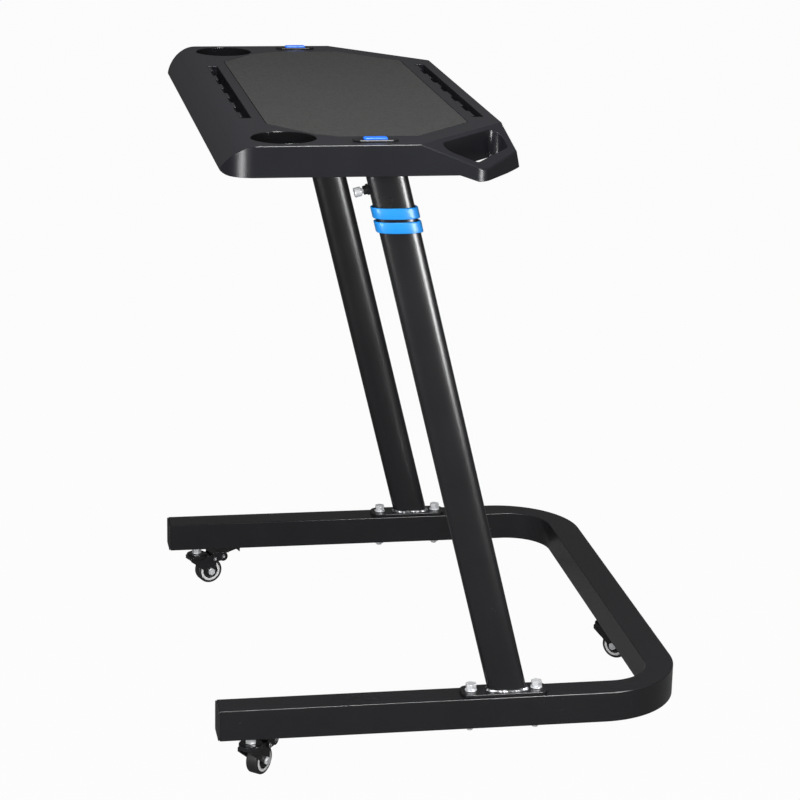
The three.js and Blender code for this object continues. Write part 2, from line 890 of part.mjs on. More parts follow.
// Solid outer form: a flat top with a rounded edge, and two handles that fall away
function deskForm() {
  const round = deskEdgeRadius;
  const halfway = round * (1 - Math.SQRT1_2);
  const levels = [[round, 0], [halfway, halfway], [0, round]];
  const rings = levels.map(([inset, drop]) => creasedOutline(inset).map((p) => {
    const fall = handleSlope * Math.max(pastCrease(p), 0);
    return new THREE.Vector3(p.x, p.y, -fall - drop);
  }));
  rings.push(creasedOutline(0).map((p) => new THREE.Vector3(p.x, p.y, -handleDepth)));
  const last = (rings.length - 1) * rings[0].length;
  const top = creasedFaces(creasedOutline(round)).map(([a, b, c]) => [a, c, b]);
  const bottom = creasedFaces(creasedOutline(0)).map((face) => face.map((i) => last + i));
  return fromTriangles(rings.flat(), [...ringWalls(rings), ...top, ...bottom]);
}

// What lies outside the rider's edge: a rounded nose with a tucked-in foot. The inset
// moves the face inwards.
function noseCutter(inset) {
  const deepest = -handleDepth - overrun;
  const foot = noseFootRun - inset;
  const points = [[-overrun, overrun], [noseRun, overrun]];
  const whole = THREE.MathUtils.degToRad(noseTurn);
  for (let step = 0; step <= noseSteps; step++) {
    const turn = step / noseSteps * whole;
    const out = Math.sin(turn) / Math.sin(whole);
    const down = (1 - Math.cos(turn)) / (1 - Math.cos(whole));
    points.push([noseRun - (noseRun - inset) * out, -inset - (noseDrop - inset) * down]);
  }
  for (let step = 1; step <= edgeSteps; step++) {
    const turn = step / edgeSteps * Math.PI / 2;
    const run = noseFootRun - foot * Math.cos(turn);
    points.push([run, -noseDrop - (skirtDepth - noseDrop) * Math.sin(turn)]);
  }
  points.push([noseFootRun, deepest], [-overrun, deepest]);
  const outline = points.map(([x, z]) => new THREE.Vector2(x, z));
  return profile(outline, -halfDesk - overrun, halfDesk + overrun);
}

// A prism along the near crease, whose section is given as [distance past it, height]
function creasePrism(pairs) {
  const outline = pairs.map(([s, z]) => new THREE.Vector2(s, z));
  const turn = Math.atan2(creaseOut.y, creaseOut.x);
  const matrix = new THREE.Matrix4().makeRotationZ(turn);
  matrix.setPosition(creaseStart.x, creaseStart.y, 0);
  return moved(profile(outline, -deskWidth, deskWidth), matrix);
}

// Space below the skirt, which leaves only the deeper handles standing
function underCut() {
  const low = -handleDepth - overrun;
  const cut = creasePrism([
    [-2 * deskWidth, low],
    [handleShoulderEnd, low],
    [handleShoulderEnd, -handleDepth],
    [handleShoulderStart, -skirtDepth],
    [-2 * deskWidth, -skirtDepth],
  ]);
  return cut.intersect(mirrored(cut));
}

// Hollow under the desk, inside the skirt and short of the handles
function deskHollow() {
  const low = -handleDepth - overrun;
  const handle = creasePrism([
    [0, 2 * low],
    [deskWidth, 2 * low],
    [deskWidth, overrun],
    [0, overrun],
  ]);
  return cutBy(
    plate(rounded(deskCorners, deskWall), low, -deskTop),
    handle,
    mirrored(handle),
    noseCutter(deskWall),
  );
}

// Grip hole through the near handle: its four sides run along the side face, the handle's
// rim, the away edge and the crease
function gripHole() {
  const lines = [
    edgeLine(nearCorners[0], nearCorners[1], gripRim),
    edgeLine(nearCorners[1], nearCorners[2], gripRim),
    edgeLine(nearCorners[2], nearCorners[3], gripAwayGap),
    {
      along: creaseAlong,
      point: creaseStart.clone().addScaledVector(creaseOut, gripCreaseGap),
    },
  ];
  const corners = lines.map((line, i) => {
    const { x, y } = crossing(line, lines[(i + 1) % lines.length]);
    return [x, y, gripCorner];
  });
  return plate(rounded(corners), -handleDepth - overrun, overrun);
}

// The outline of a tablet slot: straight on the away side, notched towards the rider
function slotOutline(inset, length) {
  const end = length / 2;
  const pitch = (end + slotNotchCut) / slotNotchPairs;
  const points = [[inset + slotWidth, -end], [inset + slotWidth, end]];
  for (let i = slotNotchPairs; i >= -slotNotchPairs; i--) {
    const low = Math.max(i * pitch - slotNotchLength / 2, -end);
    const high = Math.min(i * pitch + slotNotchLength / 2, end);
    if (high < end) {
      points.push([inset, high]);
    }
    points.push([inset - slotNotch, high], [inset - slotNotch, low]);
    if (low > -end) {
      points.push([inset, low]);
    }
  }
  return points.map(([x, y]) => new THREE.Vector2(x, y));
}

// Closed box under a slot
function slotTrough(inset, length) {
  const reach = length / 2 + slotWall;
  return block(
    [inset - slotNotch - slotWall, -reach, -slotDepth - slotWall],
    [inset + slotWidth + slotWall, reach, -deskTop / 2],
  );
}

// Stiffening ribs under the top
function deskRibs() {
  const low = -deskTop - ribDepth;
  const high = -deskTop / 2;
  const half = ribThickness / 2;
  const lengthwise = ribWidth_shares.map((share) => {
    const y = share * halfDesk;
    return block([0, y - half, low], [deskDepth, y + half, high]);
  });
  const crosswise = ribDepth_shares.map((share) => {
    const x = share * deskDepth;
    return block([x - half, -halfDesk, low], [x + half, halfDesk, high]);
  });
  return [...lengthwise, ...crosswise];
}

// Pad over the bracket, and the space under it that the ribs leave free
function bracketBoss() {
  const half = [bossLength / 2, bossWidth / 2];
  return block([-half[0], -half[1], -deskTop - bossDepth], [half[0], half[1], -deskTop / 2]);
}

function bracketRoom() {
  const half = [bossLength / 2 + overrun, bossWidth / 2 + overrun];
  return block([-half[0], -half[1], -handleDepth], [half[0], half[1], -deskTop - bossDepth]);
}

function wellCup() {
  return disc(wellRadius + wellWall, -wellDepth - wellWall, -deskTop / 2, fineSegments);
}

function wellRoom() {
  return turned([
    [0, -wellDepth],
    [wellRadius - wellRim, -wellDepth],
    [wellRadius, -wellDepth + wellRim],
    [wellRadius, -wellRim],
    [wellRadius + wellRim, 0],
    [wellRadius + wellRim, overrun],
    [0, overrun],
  ], fineSegments);
}

// The mat, grown by a groove for its recess. It passes the cup wells with a slant.
function matBody(grow, low, high) {
  const corners = bothHalves([
    [matRiderInset, -matRiderHalf, matCorner],
    [matCupInset, -matHalf + matCupStep, matCupCorner],
    [matCupStart, -matHalf, matCorner],
    [matCreaseStart, -matHalf, matCorner],
    [matAwayInset, -matAwayHalf, matCorner],
  ]);
  return plate(rounded(corners, -grow), low, high);
}

// Moulded desk: shell, wells, slots, handles, ribs and bosses in one piece
function deskShell() {
  const bothSides = (solid, x, y) => [shifted(solid, x, -y, 0), shifted(solid, x, y, 0)];
  const form = cutBy(deskForm(), noseCutter(0));
  const inside = joined(
    ...deskRibs(),
    ...bothSides(bracketBoss(), boltInset, railY),
    ...bothSides(wellCup(), wellX, wellY),
    slotTrough(riderSlotInset, riderSlotLength),
    slotTrough(awaySlotInset, awaySlotLength),
  );
  const reach = plate(rounded(deskCorners, deskWall / 2), -handleDepth, -deskTop / 2);
  const fill = cutBy(
    inside.intersect(reach).intersect(form),
    noseCutter(deskWall / 2),
    ...bothSides(bracketRoom(), boltInset, railY),
  );
  const headRoom = disc(deskBoltHead + runGap, -deskBoltHeadHeight - 2 * seatGap, overrun);
  const boltRoom = disc(deskBoltRadius + runGap, -handleDepth, overrun, smallSegments);
  const grip = gripHole();
  return cutBy(
    joined(cutBy(form, underCut(), deskHollow()), fill),
    ...bothSides(wellRoom(), wellX, wellY),
    ...bothSides(headRoom, boltInset, railY),
    ...bothSides(boltRoom, boltInset, railY),
    plate(slotOutline(riderSlotInset, riderSlotLength), -slotDepth, overrun),
    plate(slotOutline(awaySlotInset, awaySlotLength), -slotDepth, overrun),
    matBody(matGroove, -matThickness - seatGap, overrun),
    grip,
    mirrored(grip),
  );
}

// Eight-sided frame with bevelled edges and a window, over a desk bolt
function capFrame() {
  const ring = (inset, z) => {
    const x = capLength / 2 - inset;
    const y = capWidth / 2 - inset;
    const flat = capLength / 2 - capTaper;
    const end = y / 3;
    return [
      [-flat, -y], [flat, -y], [x, -end], [x, end],
      [flat, y], [-flat, y], [-x, end], [-x, -end],
    ].map(([u, v]) => new THREE.Vector3(u, v, seatGap + z));
  };
  const body = loft([ring(0, 0), ring(0, capHeight - capBevel), ring(capBevel, capHeight)]);
  const half = [insertLength / 2 + seatGap, insertWidth / 2 + seatGap];
  return cutBy(body, block([-half[0], -half[1], -overrun], [half[0], half[1], overrun]));
}

// Raised block in the frame's window
function capInsert() {
  const ring = (inset, z) => {
    const points = rectangle(insertLength - 2 * inset, insertWidth - 2 * inset, insertBevel, 1);
    return points.map((p) => new THREE.Vector3(p.x, p.y, seatGap + z));
  };
  return loft([
    ring(0, 0),
    ring(0, insertHeight - insertBevel),
    ring(insertBevel / 3, insertHeight - insertBevel / 3),
    ring(insertBevel, insertHeight),
  ]);
}

// Flat-headed bolt that holds the desk to a bracket
function deskBolt() {
  const seat = -seatGap - deskBoltHeadHeight;
  return joined(
    disc(deskBoltHead, seat, -seatGap),
    disc(deskBoltRadius, seat - deskBoltReach, seat + seatGap, smallSegments),
  );
}

// Casters. The stem is on the Z axis and the wheel trails along +X, with Z from the floor.

const axleZ = wheelRadius;
const earZ = crownTop - pedalPivotDrop;
const shoeZ = crownTop - brakeShoeDrop;

// Stem with the head that carries the fork
function casterStem() {
  const head = crownTop - forkCrownThickness - seatGap;
  return joined(
    disc(stemHeadRadius, head - stemHeadHeight, head),
    disc(stemRadius, head - stemHeadHeight, railBottom + stemGrip, smallSegments),
  );
}

function stemNut() {
  const low = raceTop + seatGap;
  return cutBy(
    hexagon(stemNutFlats, low, low + stemNutHeight),
    disc(stemRadius + runGap, low - overrun, railBottom, smallSegments),
  );
}

// Outline of one of the fork's side plates, from the crown down to the axle
function forkSideOutline() {
  const back = forkWall - raceRadius;
  const crownLow = crownTop - forkCrownThickness;
  const side = new THREE.Shape();
  side.moveTo(back, crownTop);
  side.lineTo(back, crownLow - forkWall);
  side.absarc(forkTrail, axleZ, forkAxleLug, Math.PI, Math.PI * 2);
  side.lineTo(forkTrail + forkAxleLug + forkWall / 2, earZ - pedalEarRadius);
  side.absarc(pedalPivotX, earZ, pedalEarRadius, -Math.PI / 6, Math.PI / 2);
  side.closePath();
  return side;
}

// Stamped fork: race, crown and two side plates, with the pedal's clinched pivot pins
function casterFork() {
  const crownLow = crownTop - forkCrownThickness;
  const race = turned([
    [0, crownLow],
    [raceRadius - forkWall, crownLow],
    [raceRadius, crownLow + forkWall],
    [raceRadius, raceTop - forkWall / 2],
    [raceRadius - forkWall, raceTop],
    [0, raceTop],
  ], wheelSegments);
  const crown = block(
    [forkWall - raceRadius, -forkOuter, crownLow],
    [pedalPivotX, forkOuter, crownTop],
  );
  const plates = cutBy(
    profile(forkSideOutline(), -forkOuter, forkOuter),
    block([-raceRadius, -forkInner, -overrun], [pedalReach, forkInner, crownTop + overrun]),
  );
  const headReach = pedalOuter + runGap + rivetHeadHeight;
  const pins = cutBy(
    joined(
      across(pedalPivotRadius, headReach, pedalPivotX, earZ),
      cutBy(
        across(rivetHeadRadius, headReach, pedalPivotX, earZ),
        across(rivetHeadRadius + runGap, pedalOuter + runGap, pedalPivotX, earZ),
      ),
    ),
    across(rivetHeadRadius + runGap, forkInner, pedalPivotX, earZ),
  );
  return cutBy(
    joined(race, crown, plates, pins),
    disc(stemRadius + runGap, crownLow - overrun, raceTop + overrun, smallSegments),
    across(axleRadius + runGap, forkOuter + overrun, forkTrail, axleZ),
  );
}

// Wheel with a rounded tread, a ring round each face and a hub that meets the fork
function casterWheel() {
  const half = wheelWidth / 2;
  const hub = forkInner - seatGap;
  const side = [
    [axleRadius + runGap, hub],
    [wheelHubRadius, hub],
    [wheelHubRadius, half - wheelWebDepth],
    [wheelRingInner, half - wheelWebDepth],
    [wheelRingInner, half],
    [wheelRadius - wheelShoulder, half],
    [wheelRadius, half - wheelShoulder],
  ];
  const loop = [...side, ...side.map(([r, y]) => [r, -y]).reverse(), side[0]];
  const points = loop.map(([r, y]) => new THREE.Vector2(r, y)).reverse();
  return shifted(toSolid(new THREE.LatheGeometry(points, wheelSegments)), forkTrail, 0, axleZ);
}

// Axle with a hexagon head on one side and a clinched hexagon nut on the other
function casterAxle() {
  const reach = forkOuter + seatGap + axleHeadHeight;
  const radius = axleHeadFlats / Math.sqrt(3);
  return joined(
    cutBy(
      across(radius, reach, forkTrail, axleZ, 6),
      across(2 * radius, forkOuter + seatGap, forkTrail, axleZ),
    ),
    across(axleRadius, reach, forkTrail, axleZ),
  );
}

// Side view of the pedal's foot plate, with a ribbed root and a turned-down tip
function pedalSection(rootX, bendX) {
  const low = crownTop + pedalLift;
  const tip = low + pedalRise;
  const points = [
    [rootX, low],
    [bendX, low],
    [pedalReach - pedalWall, tip],
    [pedalReach - pedalWall, tip - pedalTipDrop],
    [pedalReach, tip - pedalTipDrop],
    [pedalReach, tip + pedalWall / 2],
    [pedalReach - pedalWall, tip + pedalWall],
    [bendX, low + pedalWall],
  ];
  for (let i = 0; i < pedalRibs; i++) {
    const x = bendX - pedalWall - i * pedalRibPitch;
    points.push([x, low + pedalWall]);
    points.push([x - pedalRibPitch / 4, low + pedalWall + pedalRibHeight]);
    points.push([x - pedalRibPitch / 2, low + pedalWall]);
  }
  points.push([rootX, low + pedalWall]);
  return points.map(([x, z]) => new THREE.Vector2(x, z));
}

// Brake pedal: foot plate, two ears, and the shoe between them
function casterPedal() {
  const low = crownTop + pedalLift;
  const rootX = pedalPivotX - pedalEarRadius;
  const bendX = brakeShoeX + pedalEarRadius;
  const plan = rounded([
    [rootX, -pedalOuter, sharpRadius],
    [bendX, -pedalOuter, pedalEarRadius],
    [pedalReach, -pedalTipHalf, pedalEarRadius],
    [pedalReach, pedalTipHalf, pedalEarRadius],
    [bendX, pedalOuter, pedalEarRadius],
    [rootX, pedalOuter, sharpRadius],
  ]);
  const foot = profile(pedalSection(rootX, bendX), -pedalOuter, pedalOuter)
    .intersect(plate(plan, 0, railBottom));
  const ear = rounded([
    [rootX, earZ - pedalEarRadius, pedalEarRadius - sharpRadius],
    [bendX, shoeZ - pedalEarRadius, pedalEarRadius - sharpRadius],
    [bendX, low + pedalWall / 2, sharpRadius],
    [rootX, low + pedalWall / 2, sharpRadius],
  ]);
  const ears = cutBy(
    profile(ear, -pedalOuter, pedalOuter),
    block([0, -pedalInner, 0], [pedalReach, pedalInner, low]),
  );
  const shoe = across(brakeShoeRadius, pedalOuter - pedalWall / 2, brakeShoeX, shoeZ, discSegments);
  return cutBy(
    joined(
      foot,
      ears,
      shoe.intersect(block([0, -baseWidth, 0], [pedalReach, baseWidth, low + pedalWall / 2])),
      across(rivetHeadRadius, pedalOuter + rivetHeadHeight, brakeShoeX, shoeZ),
    ),
    across(pedalPivotRadius + runGap, pedalOuter + overrun, pedalPivotX, earZ),
  );
}

function addCaster(name, x, y, degrees) {
  const caster = addGroup(x, y, 0);
  caster.rotation.z = THREE.MathUtils.degToRad(degrees);
  addPiece(caster, `${name}_stem`, casterStem(), zinc);
  addPiece(caster, `${name}_stem_nut`, stemNut(), zinc);
  addPiece(caster, `${name}_fork`, casterFork(), blackCoat);
  addPiece(caster, `${name}_wheel`, casterWheel(), tyreBlack);
  addPiece(caster, `${name}_axle`, casterAxle(), zinc);
  addPiece(caster, `${name}_brake_pedal`, casterPedal(), blackCoat);
}

// Base
const base = addGroup(0, 0, 0);
addPiece(base, 'side_rail_near', sideRail(), blackCoat);
addPiece(base, 'side_rail_far', mirrored(sideRail()), blackCoat);
addPiece(base, 'cross_rail', crossRail(), blackCoat);
addCaster('front_near', railEndX + casterFromEnd, -railY, nearTurn);
addCaster('front_far', railEndX + casterFromEnd, railY, farTurn);
addCaster('rear', crossX, 0, rearTurn);

// What rides on the inner tubes
const lift = addGroup(0, 0, 0);
const deskTopGroup = addGroup(deskEdgeX, 0, deskHeight);
addPiece(deskTopGroup, 'desk_shell', deskShell(), blackPlastic);
addPiece(deskTopGroup, 'desk_mat', matBody(0, -matThickness, 0), matRubber);
addPiece(lift, 'support_bar', supportBar(), blackCoat, postAxisX(barZ), 0, barZ);

// What stands on each side
for (const [side, sign] of [['near', -1], ['far', 1]]) {
  const y = sign * railY;
  const screwY = sign * (bendCentreY - spigotLength / 2);
  addPiece(base, `joint_screw_${side}`, jointScrew(), zinc, crossX, screwY);
  addPiece(base, `rail_cap_${side}`, railCap(), blackPlastic, railEndX, y, railCentreZ);
  for (const [end, x] of [['front', footBoltPlaces[0]], ['rear', footBoltPlaces[1]]]) {
    addPiece(base, `foot_bolt_${end}_${side}`, footBolt(), zinc, x, y);
    addPiece(base, `foot_washer_${end}_${side}`, footWasher(), zinc, x, y);
    addPiece(base, `foot_nut_${end}_${side}`, footNut(), zinc, x, y);
  }
  addPiece(base, `outer_post_${side}`, outerPost(), blackCoat, 0, y);
  addPiece(base, `upper_band_${side}`, postBand(0), bluePlastic, 0, y);
  addPiece(base, `lower_band_${side}`, postBand(1), bluePlastic, 0, y);
  addPiece(lift, `inner_post_${side}`, innerPost(), blackCoat, 0, y);

  const post = addGroup(postTopX, y, postTopZ);
  post.rotation.y = -leanAngle;
  addPiece(post, `post_bushing_${side}`, postBushing(), blackPlastic);
  addPiece(post, `pin_housing_${side}`, pinHousing(), blackCoat, 0, 0, -pinDrop);
  addPiece(post, `pin_plunger_${side}`, pinPlunger(), zinc, 0, 0, -pinDrop);

  addPiece(deskTopGroup, `cap_frame_${side}`, capFrame(), capBlack, boltInset, sign * capY);
  addPiece(deskTopGroup, `cap_insert_${side}`, capInsert(), capBlue, boltInset, sign * capY);
  addPiece(deskTopGroup, `desk_bolt_${side}`, deskBolt(), zinc, boltInset, y);
}

// The origin goes to the floor under the middle of the whole object
const extent = new THREE.Box3().setFromObject(standing, true);
standing.position.x = -(extent.min.x + extent.max.x) / 2;
standing.position.y = -(extent.min.y + extent.max.y) / 2;

export default trainerDesk;
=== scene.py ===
# %% [markdown]
# # A desk that stands over a bicycle trainer
# A moulded plastic top rides on two telescoping posts, and a U-shaped tube base rolls on three
# braked casters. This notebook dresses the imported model: it keeps every piece where the frame
# has it, models the pieces that show most as fine meshes, and gives each finish a material of
# its own. Lengths are in metres, and mm turns millimetres into them.

# %% Load the frame
import math

import bmesh
import bpy
from mathutils import Matrix, Vector


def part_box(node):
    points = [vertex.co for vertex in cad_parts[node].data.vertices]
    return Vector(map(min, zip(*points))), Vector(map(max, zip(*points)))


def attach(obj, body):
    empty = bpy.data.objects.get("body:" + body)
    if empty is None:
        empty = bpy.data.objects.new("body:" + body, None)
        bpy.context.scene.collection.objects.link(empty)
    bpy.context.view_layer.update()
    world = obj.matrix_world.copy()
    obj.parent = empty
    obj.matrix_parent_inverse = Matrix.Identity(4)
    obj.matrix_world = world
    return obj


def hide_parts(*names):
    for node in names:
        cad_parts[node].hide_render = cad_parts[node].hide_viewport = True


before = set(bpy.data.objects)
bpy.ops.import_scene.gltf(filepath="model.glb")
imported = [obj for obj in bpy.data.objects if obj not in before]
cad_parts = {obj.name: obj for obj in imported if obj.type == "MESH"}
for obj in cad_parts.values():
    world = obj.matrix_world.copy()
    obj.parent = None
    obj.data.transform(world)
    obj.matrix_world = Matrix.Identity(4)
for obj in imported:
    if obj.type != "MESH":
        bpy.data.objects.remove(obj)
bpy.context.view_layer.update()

mm = 0.001

# %% [markdown]
# ## The camera
# The photograph was taken from far away with a long lens, from the near side, a little towards
# the rider and above the top. The camera's place, angles and focal length in pixels were solved
# from edges and corners in it. Blender's 36 mm sensor then gives the lens.

# %% Camera
photo_side = 800
focal_pixels = 2530.4
sensor_width = 36
view_depth = 40
camera_place = Vector((-659.2, -3406.3, 1429.1)) * mm
camera_yaw, camera_pitch, camera_roll = (math.radians(a) for a in (10.328, -16.496, 1.313))


def camera_axes(yaw, pitch, roll):
    """The camera's right, up and backward directions as the columns of a matrix."""
    ahead = Vector((
        math.sin(yaw) * math.cos(pitch),
        math.cos(yaw) * math.cos(pitch),
        math.sin(pitch),
    ))
    level = Vector((math.cos(yaw), -math.sin(yaw), 0))
    above = level.cross(ahead)
    right = level * math.cos(roll) + above * math.sin(roll)
    up = above * math.cos(roll) - level * math.sin(roll)
    return Matrix((right, up, -ahead)).transposed()


camera = bpy.data.objects.new("camera", bpy.data.cameras.new("camera"))
bpy.context.scene.collection.objects.link(camera)
camera.data.sensor_width = sensor_width
camera.data.lens = focal_pixels * sensor_width / photo_side
camera.data.clip_end = view_depth
turn = camera_axes(camera_yaw, camera_pitch, camera_roll).to_4x4()
camera.matrix_world = Matrix.Translation(camera_place) @ turn
bpy.context.scene.camera = camera
bpy.context.scene.view_settings.view_transform = "Standard"
print("lens", round(camera.data.lens, 1), "mm")

# %% [markdown]
# ## Shader helpers
# A material is a small tree of nodes. One helper adds a node with its values or links, and the
# others build on it. A group is a reusable tree with named inputs and outputs, like a function.

# %% Node helpers


def add_node(tree, kind, inputs=None, **settings):
    """A new node with its settings and the values or links of its inputs."""
    node = tree.nodes.new(kind)
    for name, value in settings.items():
        setattr(node, name, value)
    for name, value in (inputs or {}).items():
        if isinstance(value, bpy.types.NodeSocket):
            tree.links.new(value, node.inputs[name])
        else:
            node.inputs[name].default_value = value
    return node


def new_group(name, inputs, outputs):
    """A node group with float inputs, given with their defaults, and float outputs."""
    tree = bpy.data.node_groups.new(name, "ShaderNodeTree")
    for socket, value in inputs.items():
        made = tree.interface.new_socket(socket, in_out="INPUT", socket_type="NodeSocketFloat")
        made.default_value = value
    for socket in outputs:
        tree.interface.new_socket(socket, in_out="OUTPUT", socket_type="NodeSocketFloat")
    return tree, add_node(tree, "NodeGroupInput").outputs


def place_group(tree, group, **values):
    """A group's outputs inside a material that gives it its own values."""
    inputs = {name.replace("_", " "): value for name, value in values.items()}
    return add_node(tree, "ShaderNodeGroup", inputs, node_tree=group).outputs


def math_node(tree, operation, first, second):
    """One sum of two numbers or links."""
    inputs = {0: first, 1: second}
    return add_node(tree, "ShaderNodeMath", inputs, operation=operation).outputs[0]


def object_place(tree):
    """Where a point lies on its own piece, so that a texture moves with the piece."""
    return add_node(tree, "ShaderNodeTexCoord").outputs["Object"]


def scale_of(tree, size):
    """The scale at which a texture's features have a size in millimetres."""
    return math_node(tree, "DIVIDE", 1 / mm, size)


def noise(tree, place, scale, detail, roughness):
    """Cloudy noise about one half, over a place in metres."""
    inputs = {"Vector": place, "Scale": scale, "Detail": detail, "Roughness": roughness}
    return add_node(tree, "ShaderNodeTexNoise", inputs).outputs["Fac"]


# %% [markdown]
# ## Effects that several finishes share
# Real surfaces differ at two scales: a fine skin that softens highlights, and slow blotches
# from moulding and handling. Turned metal also carries tool marks, and pressed rubber small
# cells. Each is a group that puts out heights or masks, so every material sets its strength.

# %% Shared effects


def make_skin():
    """Fine bumps, as on powder coat and moulded plastic, and a slow mottle."""
    sizes = {"Grain Size": 0.6, "Mottle Size": 60}
    tree, given = new_group("fine_skin", sizes, ["Height", "Mottle"])
    place = object_place(tree)
    grain, slow = (scale_of(tree, given[name]) for name in sizes)
    add_node(tree, "NodeGroupOutput", {
        "Height": noise(tree, place, grain, detail=2, roughness=0.55),
        "Mottle": noise(tree, place, slow, detail=4, roughness=0.6),
    })
    return tree


def make_brushing():
    """Fine lines round Z, as tool marks on turned and plated parts."""
    tree, given = new_group("brushing", {"Line Size": 0.25}, ["Height"])
    squeeze = {"Vector": object_place(tree), "Scale": (0.08, 0.08, 1)}
    place = add_node(tree, "ShaderNodeMapping", squeeze).outputs["Vector"]
    scale = scale_of(tree, given["Line Size"])
    lines = noise(tree, place, scale, detail=3, roughness=0.6)
    add_node(tree, "NodeGroupOutput", {"Height": lines})
    return tree


def make_leather():
    """Small raised cells with soft valleys, as pressed into rubber and plastic."""
    tree, given = new_group("pressed_cells", {"Cell Size": 1.6}, ["Height", "Valley"])
    place = object_place(tree)
    scale = scale_of(tree, given["Cell Size"])
    inputs = {"Vector": place, "Scale": scale, "Randomness": 0.85}
    cells = add_node(tree, "ShaderNodeTexVoronoi", inputs, feature="SMOOTH_F1")
    valley = cells.outputs["Distance"]
    fine_scale = math_node(tree, "MULTIPLY", scale, 2.5)
    fine = noise(tree, place, fine_scale, detail=3, roughness=0.6)
    lift = math_node(tree, "SUBTRACT", 1, valley)
    height = math_node(tree, "ADD", lift, math_node(tree, "MULTIPLY", fine, 0.5))
    add_node(tree, "NodeGroupOutput", {"Height": height, "Valley": valley})
    return tree


fine_skin = make_skin()
brushing = make_brushing()
pressed_cells = make_leather()
print("shared effects", [group.name for group in bpy.data.node_groups])

# %% [markdown]
# ## One way to build a finish
# Every finish here is one Principled shader, and one function ends them all. Over most surfaces
# only three things change: the colour, between two near tones, the roughness, and the height.
# Paint and plastic differ only in their values, so they share one more function. The values are
# the two tones, the two roughnesses, the specular level, and the skin's grain and depth.

# %% Finish builder
skin_strength = 0.35
coat_mottle = 70


def new_material(name):
    """A material and its empty tree."""
    material = bpy.data.materials.new(name)
    material.use_nodes = True
    material.node_tree.nodes.clear()
    return material, material.node_tree


def end_material(material, height, strength, depth, inputs):
    """Ends a material with its shader, bent by a height that is depth millimetres deep."""
    tree = material.node_tree
    bend = {"Height": height, "Strength": strength, "Distance": depth * mm}
    normal = add_node(tree, "ShaderNodeBump", bend).outputs["Normal"]
    shader = add_node(tree, "ShaderNodeBsdfPrincipled", {**inputs, "Normal": normal})
    add_node(tree, "ShaderNodeOutputMaterial", {"Surface": shader.outputs["BSDF"]})
    return material


def tones(tree, mask, low, high):
    """A colour that runs from low to high with the mask."""
    inputs = {0: mask, 6: (*low, 1), 7: (*high, 1)}
    return add_node(tree, "ShaderNodeMix", inputs, data_type="RGBA").outputs[2]


def spread(tree, mask, low, high):
    """A number that runs from low to high with the mask."""
    node = add_node(tree, "ShaderNodeMapRange", {"Value": mask, "To Min": low, "To Max": high})
    return node.outputs["Result"]


def coated(name, low, high, rough, specular, grain, depth):
    """Paint or plastic: a mottled colour under a fine skin."""
    material, tree = new_material(name)
    skin = place_group(tree, fine_skin, Grain_Size=grain, Mottle_Size=coat_mottle)
    return end_material(material, skin["Height"], skin_strength, depth, {
        "Base Color": tones(tree, skin["Mottle"], low, high),
        "Roughness": spread(tree, skin["Mottle"], *rough),
        "Specular IOR Level": specular,
    })


# %% [markdown]
# ## The finishes
# The steel is powder coated: nearly black, satin, with a faint orange peel. The top is charcoal
# plastic with a fine grain, the mat a paler pressed rubber. Fasteners are bright zinc, and the
# bands and cap inserts are the only colour on the object.

# %% Finishes
coat_values = {
    "black_coat": ((0.0115, 0.0115, 0.013), (0.0155, 0.0155, 0.0175), (0.22, 0.3), 0.42, 0.9, 0.02),
    "desk_plastic": ((0.012, 0.0123, 0.0155), (0.0155, 0.0158, 0.0195), (0.28, 0.34), 0.3, 0.45, 0.04),
    "plug_plastic": ((0.014, 0.014, 0.015), (0.022, 0.022, 0.023), (0.45, 0.6), 0.3, 0.5, 0.03),
    "cap_black": ((0.008, 0.008, 0.009), (0.012, 0.012, 0.013), (0.36, 0.46), 0.35, 0.8, 0.01),
    # The cup wells' finish: the top's plastic with real gloss, and its darker tone is painted shade in
    # the wells.
    "well_gloss_and_shade": ((0.006, 0.006, 0.0065), (0.009, 0.009, 0.01), (0.14, 0.2), 0.5, 0.8, 0.01),
    "band_blue": ((0.015, 0.3, 0.9), (0.022, 0.36, 0.97), (0.28, 0.36), 0.4, 0.8, 0.01),
    "cap_blue": ((0.01, 0.14, 0.8), (0.015, 0.18, 0.92), (0.24, 0.34), 0.4, 0.8, 0.01),
    "wheel_plastic": ((0.014, 0.014, 0.015), (0.03, 0.03, 0.032), (0.35, 0.5), 0.4, 0.7, 0.04),
    "ring_white": ((0.9, 0.9, 0.9), (0.94, 0.94, 0.94), (0.25, 0.35), 0.5, 0.8, 0.01),
}
coats = {name: coated(name, *values) for name, values in coat_values.items()}


def make_mat_rubber():
    """Pressed rubber: raised cells over a slow mottle, with painted shade in the valleys."""
    material, tree = new_material("mat_rubber")
    cells = place_group(tree, pressed_cells, Cell_Size=2.6)
    skin = place_group(tree, fine_skin, Grain_Size=4.2, Mottle_Size=90)
    # The mask is painted shade: it darkens the cells' valleys, more where the fine skin is high.
    mask = math_node(tree, "MULTIPLY", cells["Valley"], skin["Height"])
    return end_material(material, cells["Height"], 0.6, 0.25, {
        "Base Color": tones(tree, mask, (0.039, 0.039, 0.0382), (0.004, 0.004, 0.0039)),
        "Roughness": spread(tree, skin["Mottle"], 0.75, 0.95),
        "Specular IOR Level": 0.2,
    })


def make_zinc():
    """Bright plated steel with fine tool marks and slight clouding."""
    material, tree = new_material("zinc")
    skin = place_group(tree, fine_skin, Grain_Size=1.2, Mottle_Size=8)
    lines = place_group(tree, brushing)
    return end_material(material, lines["Height"], 0.2, 0.02, {
        "Base Color": tones(tree, skin["Mottle"], (0.74, 0.75, 0.77), (0.92, 0.93, 0.95)),
        "Roughness": spread(tree, skin["Height"], 0.24, 0.42),
        "Metallic": 0.35,
    })


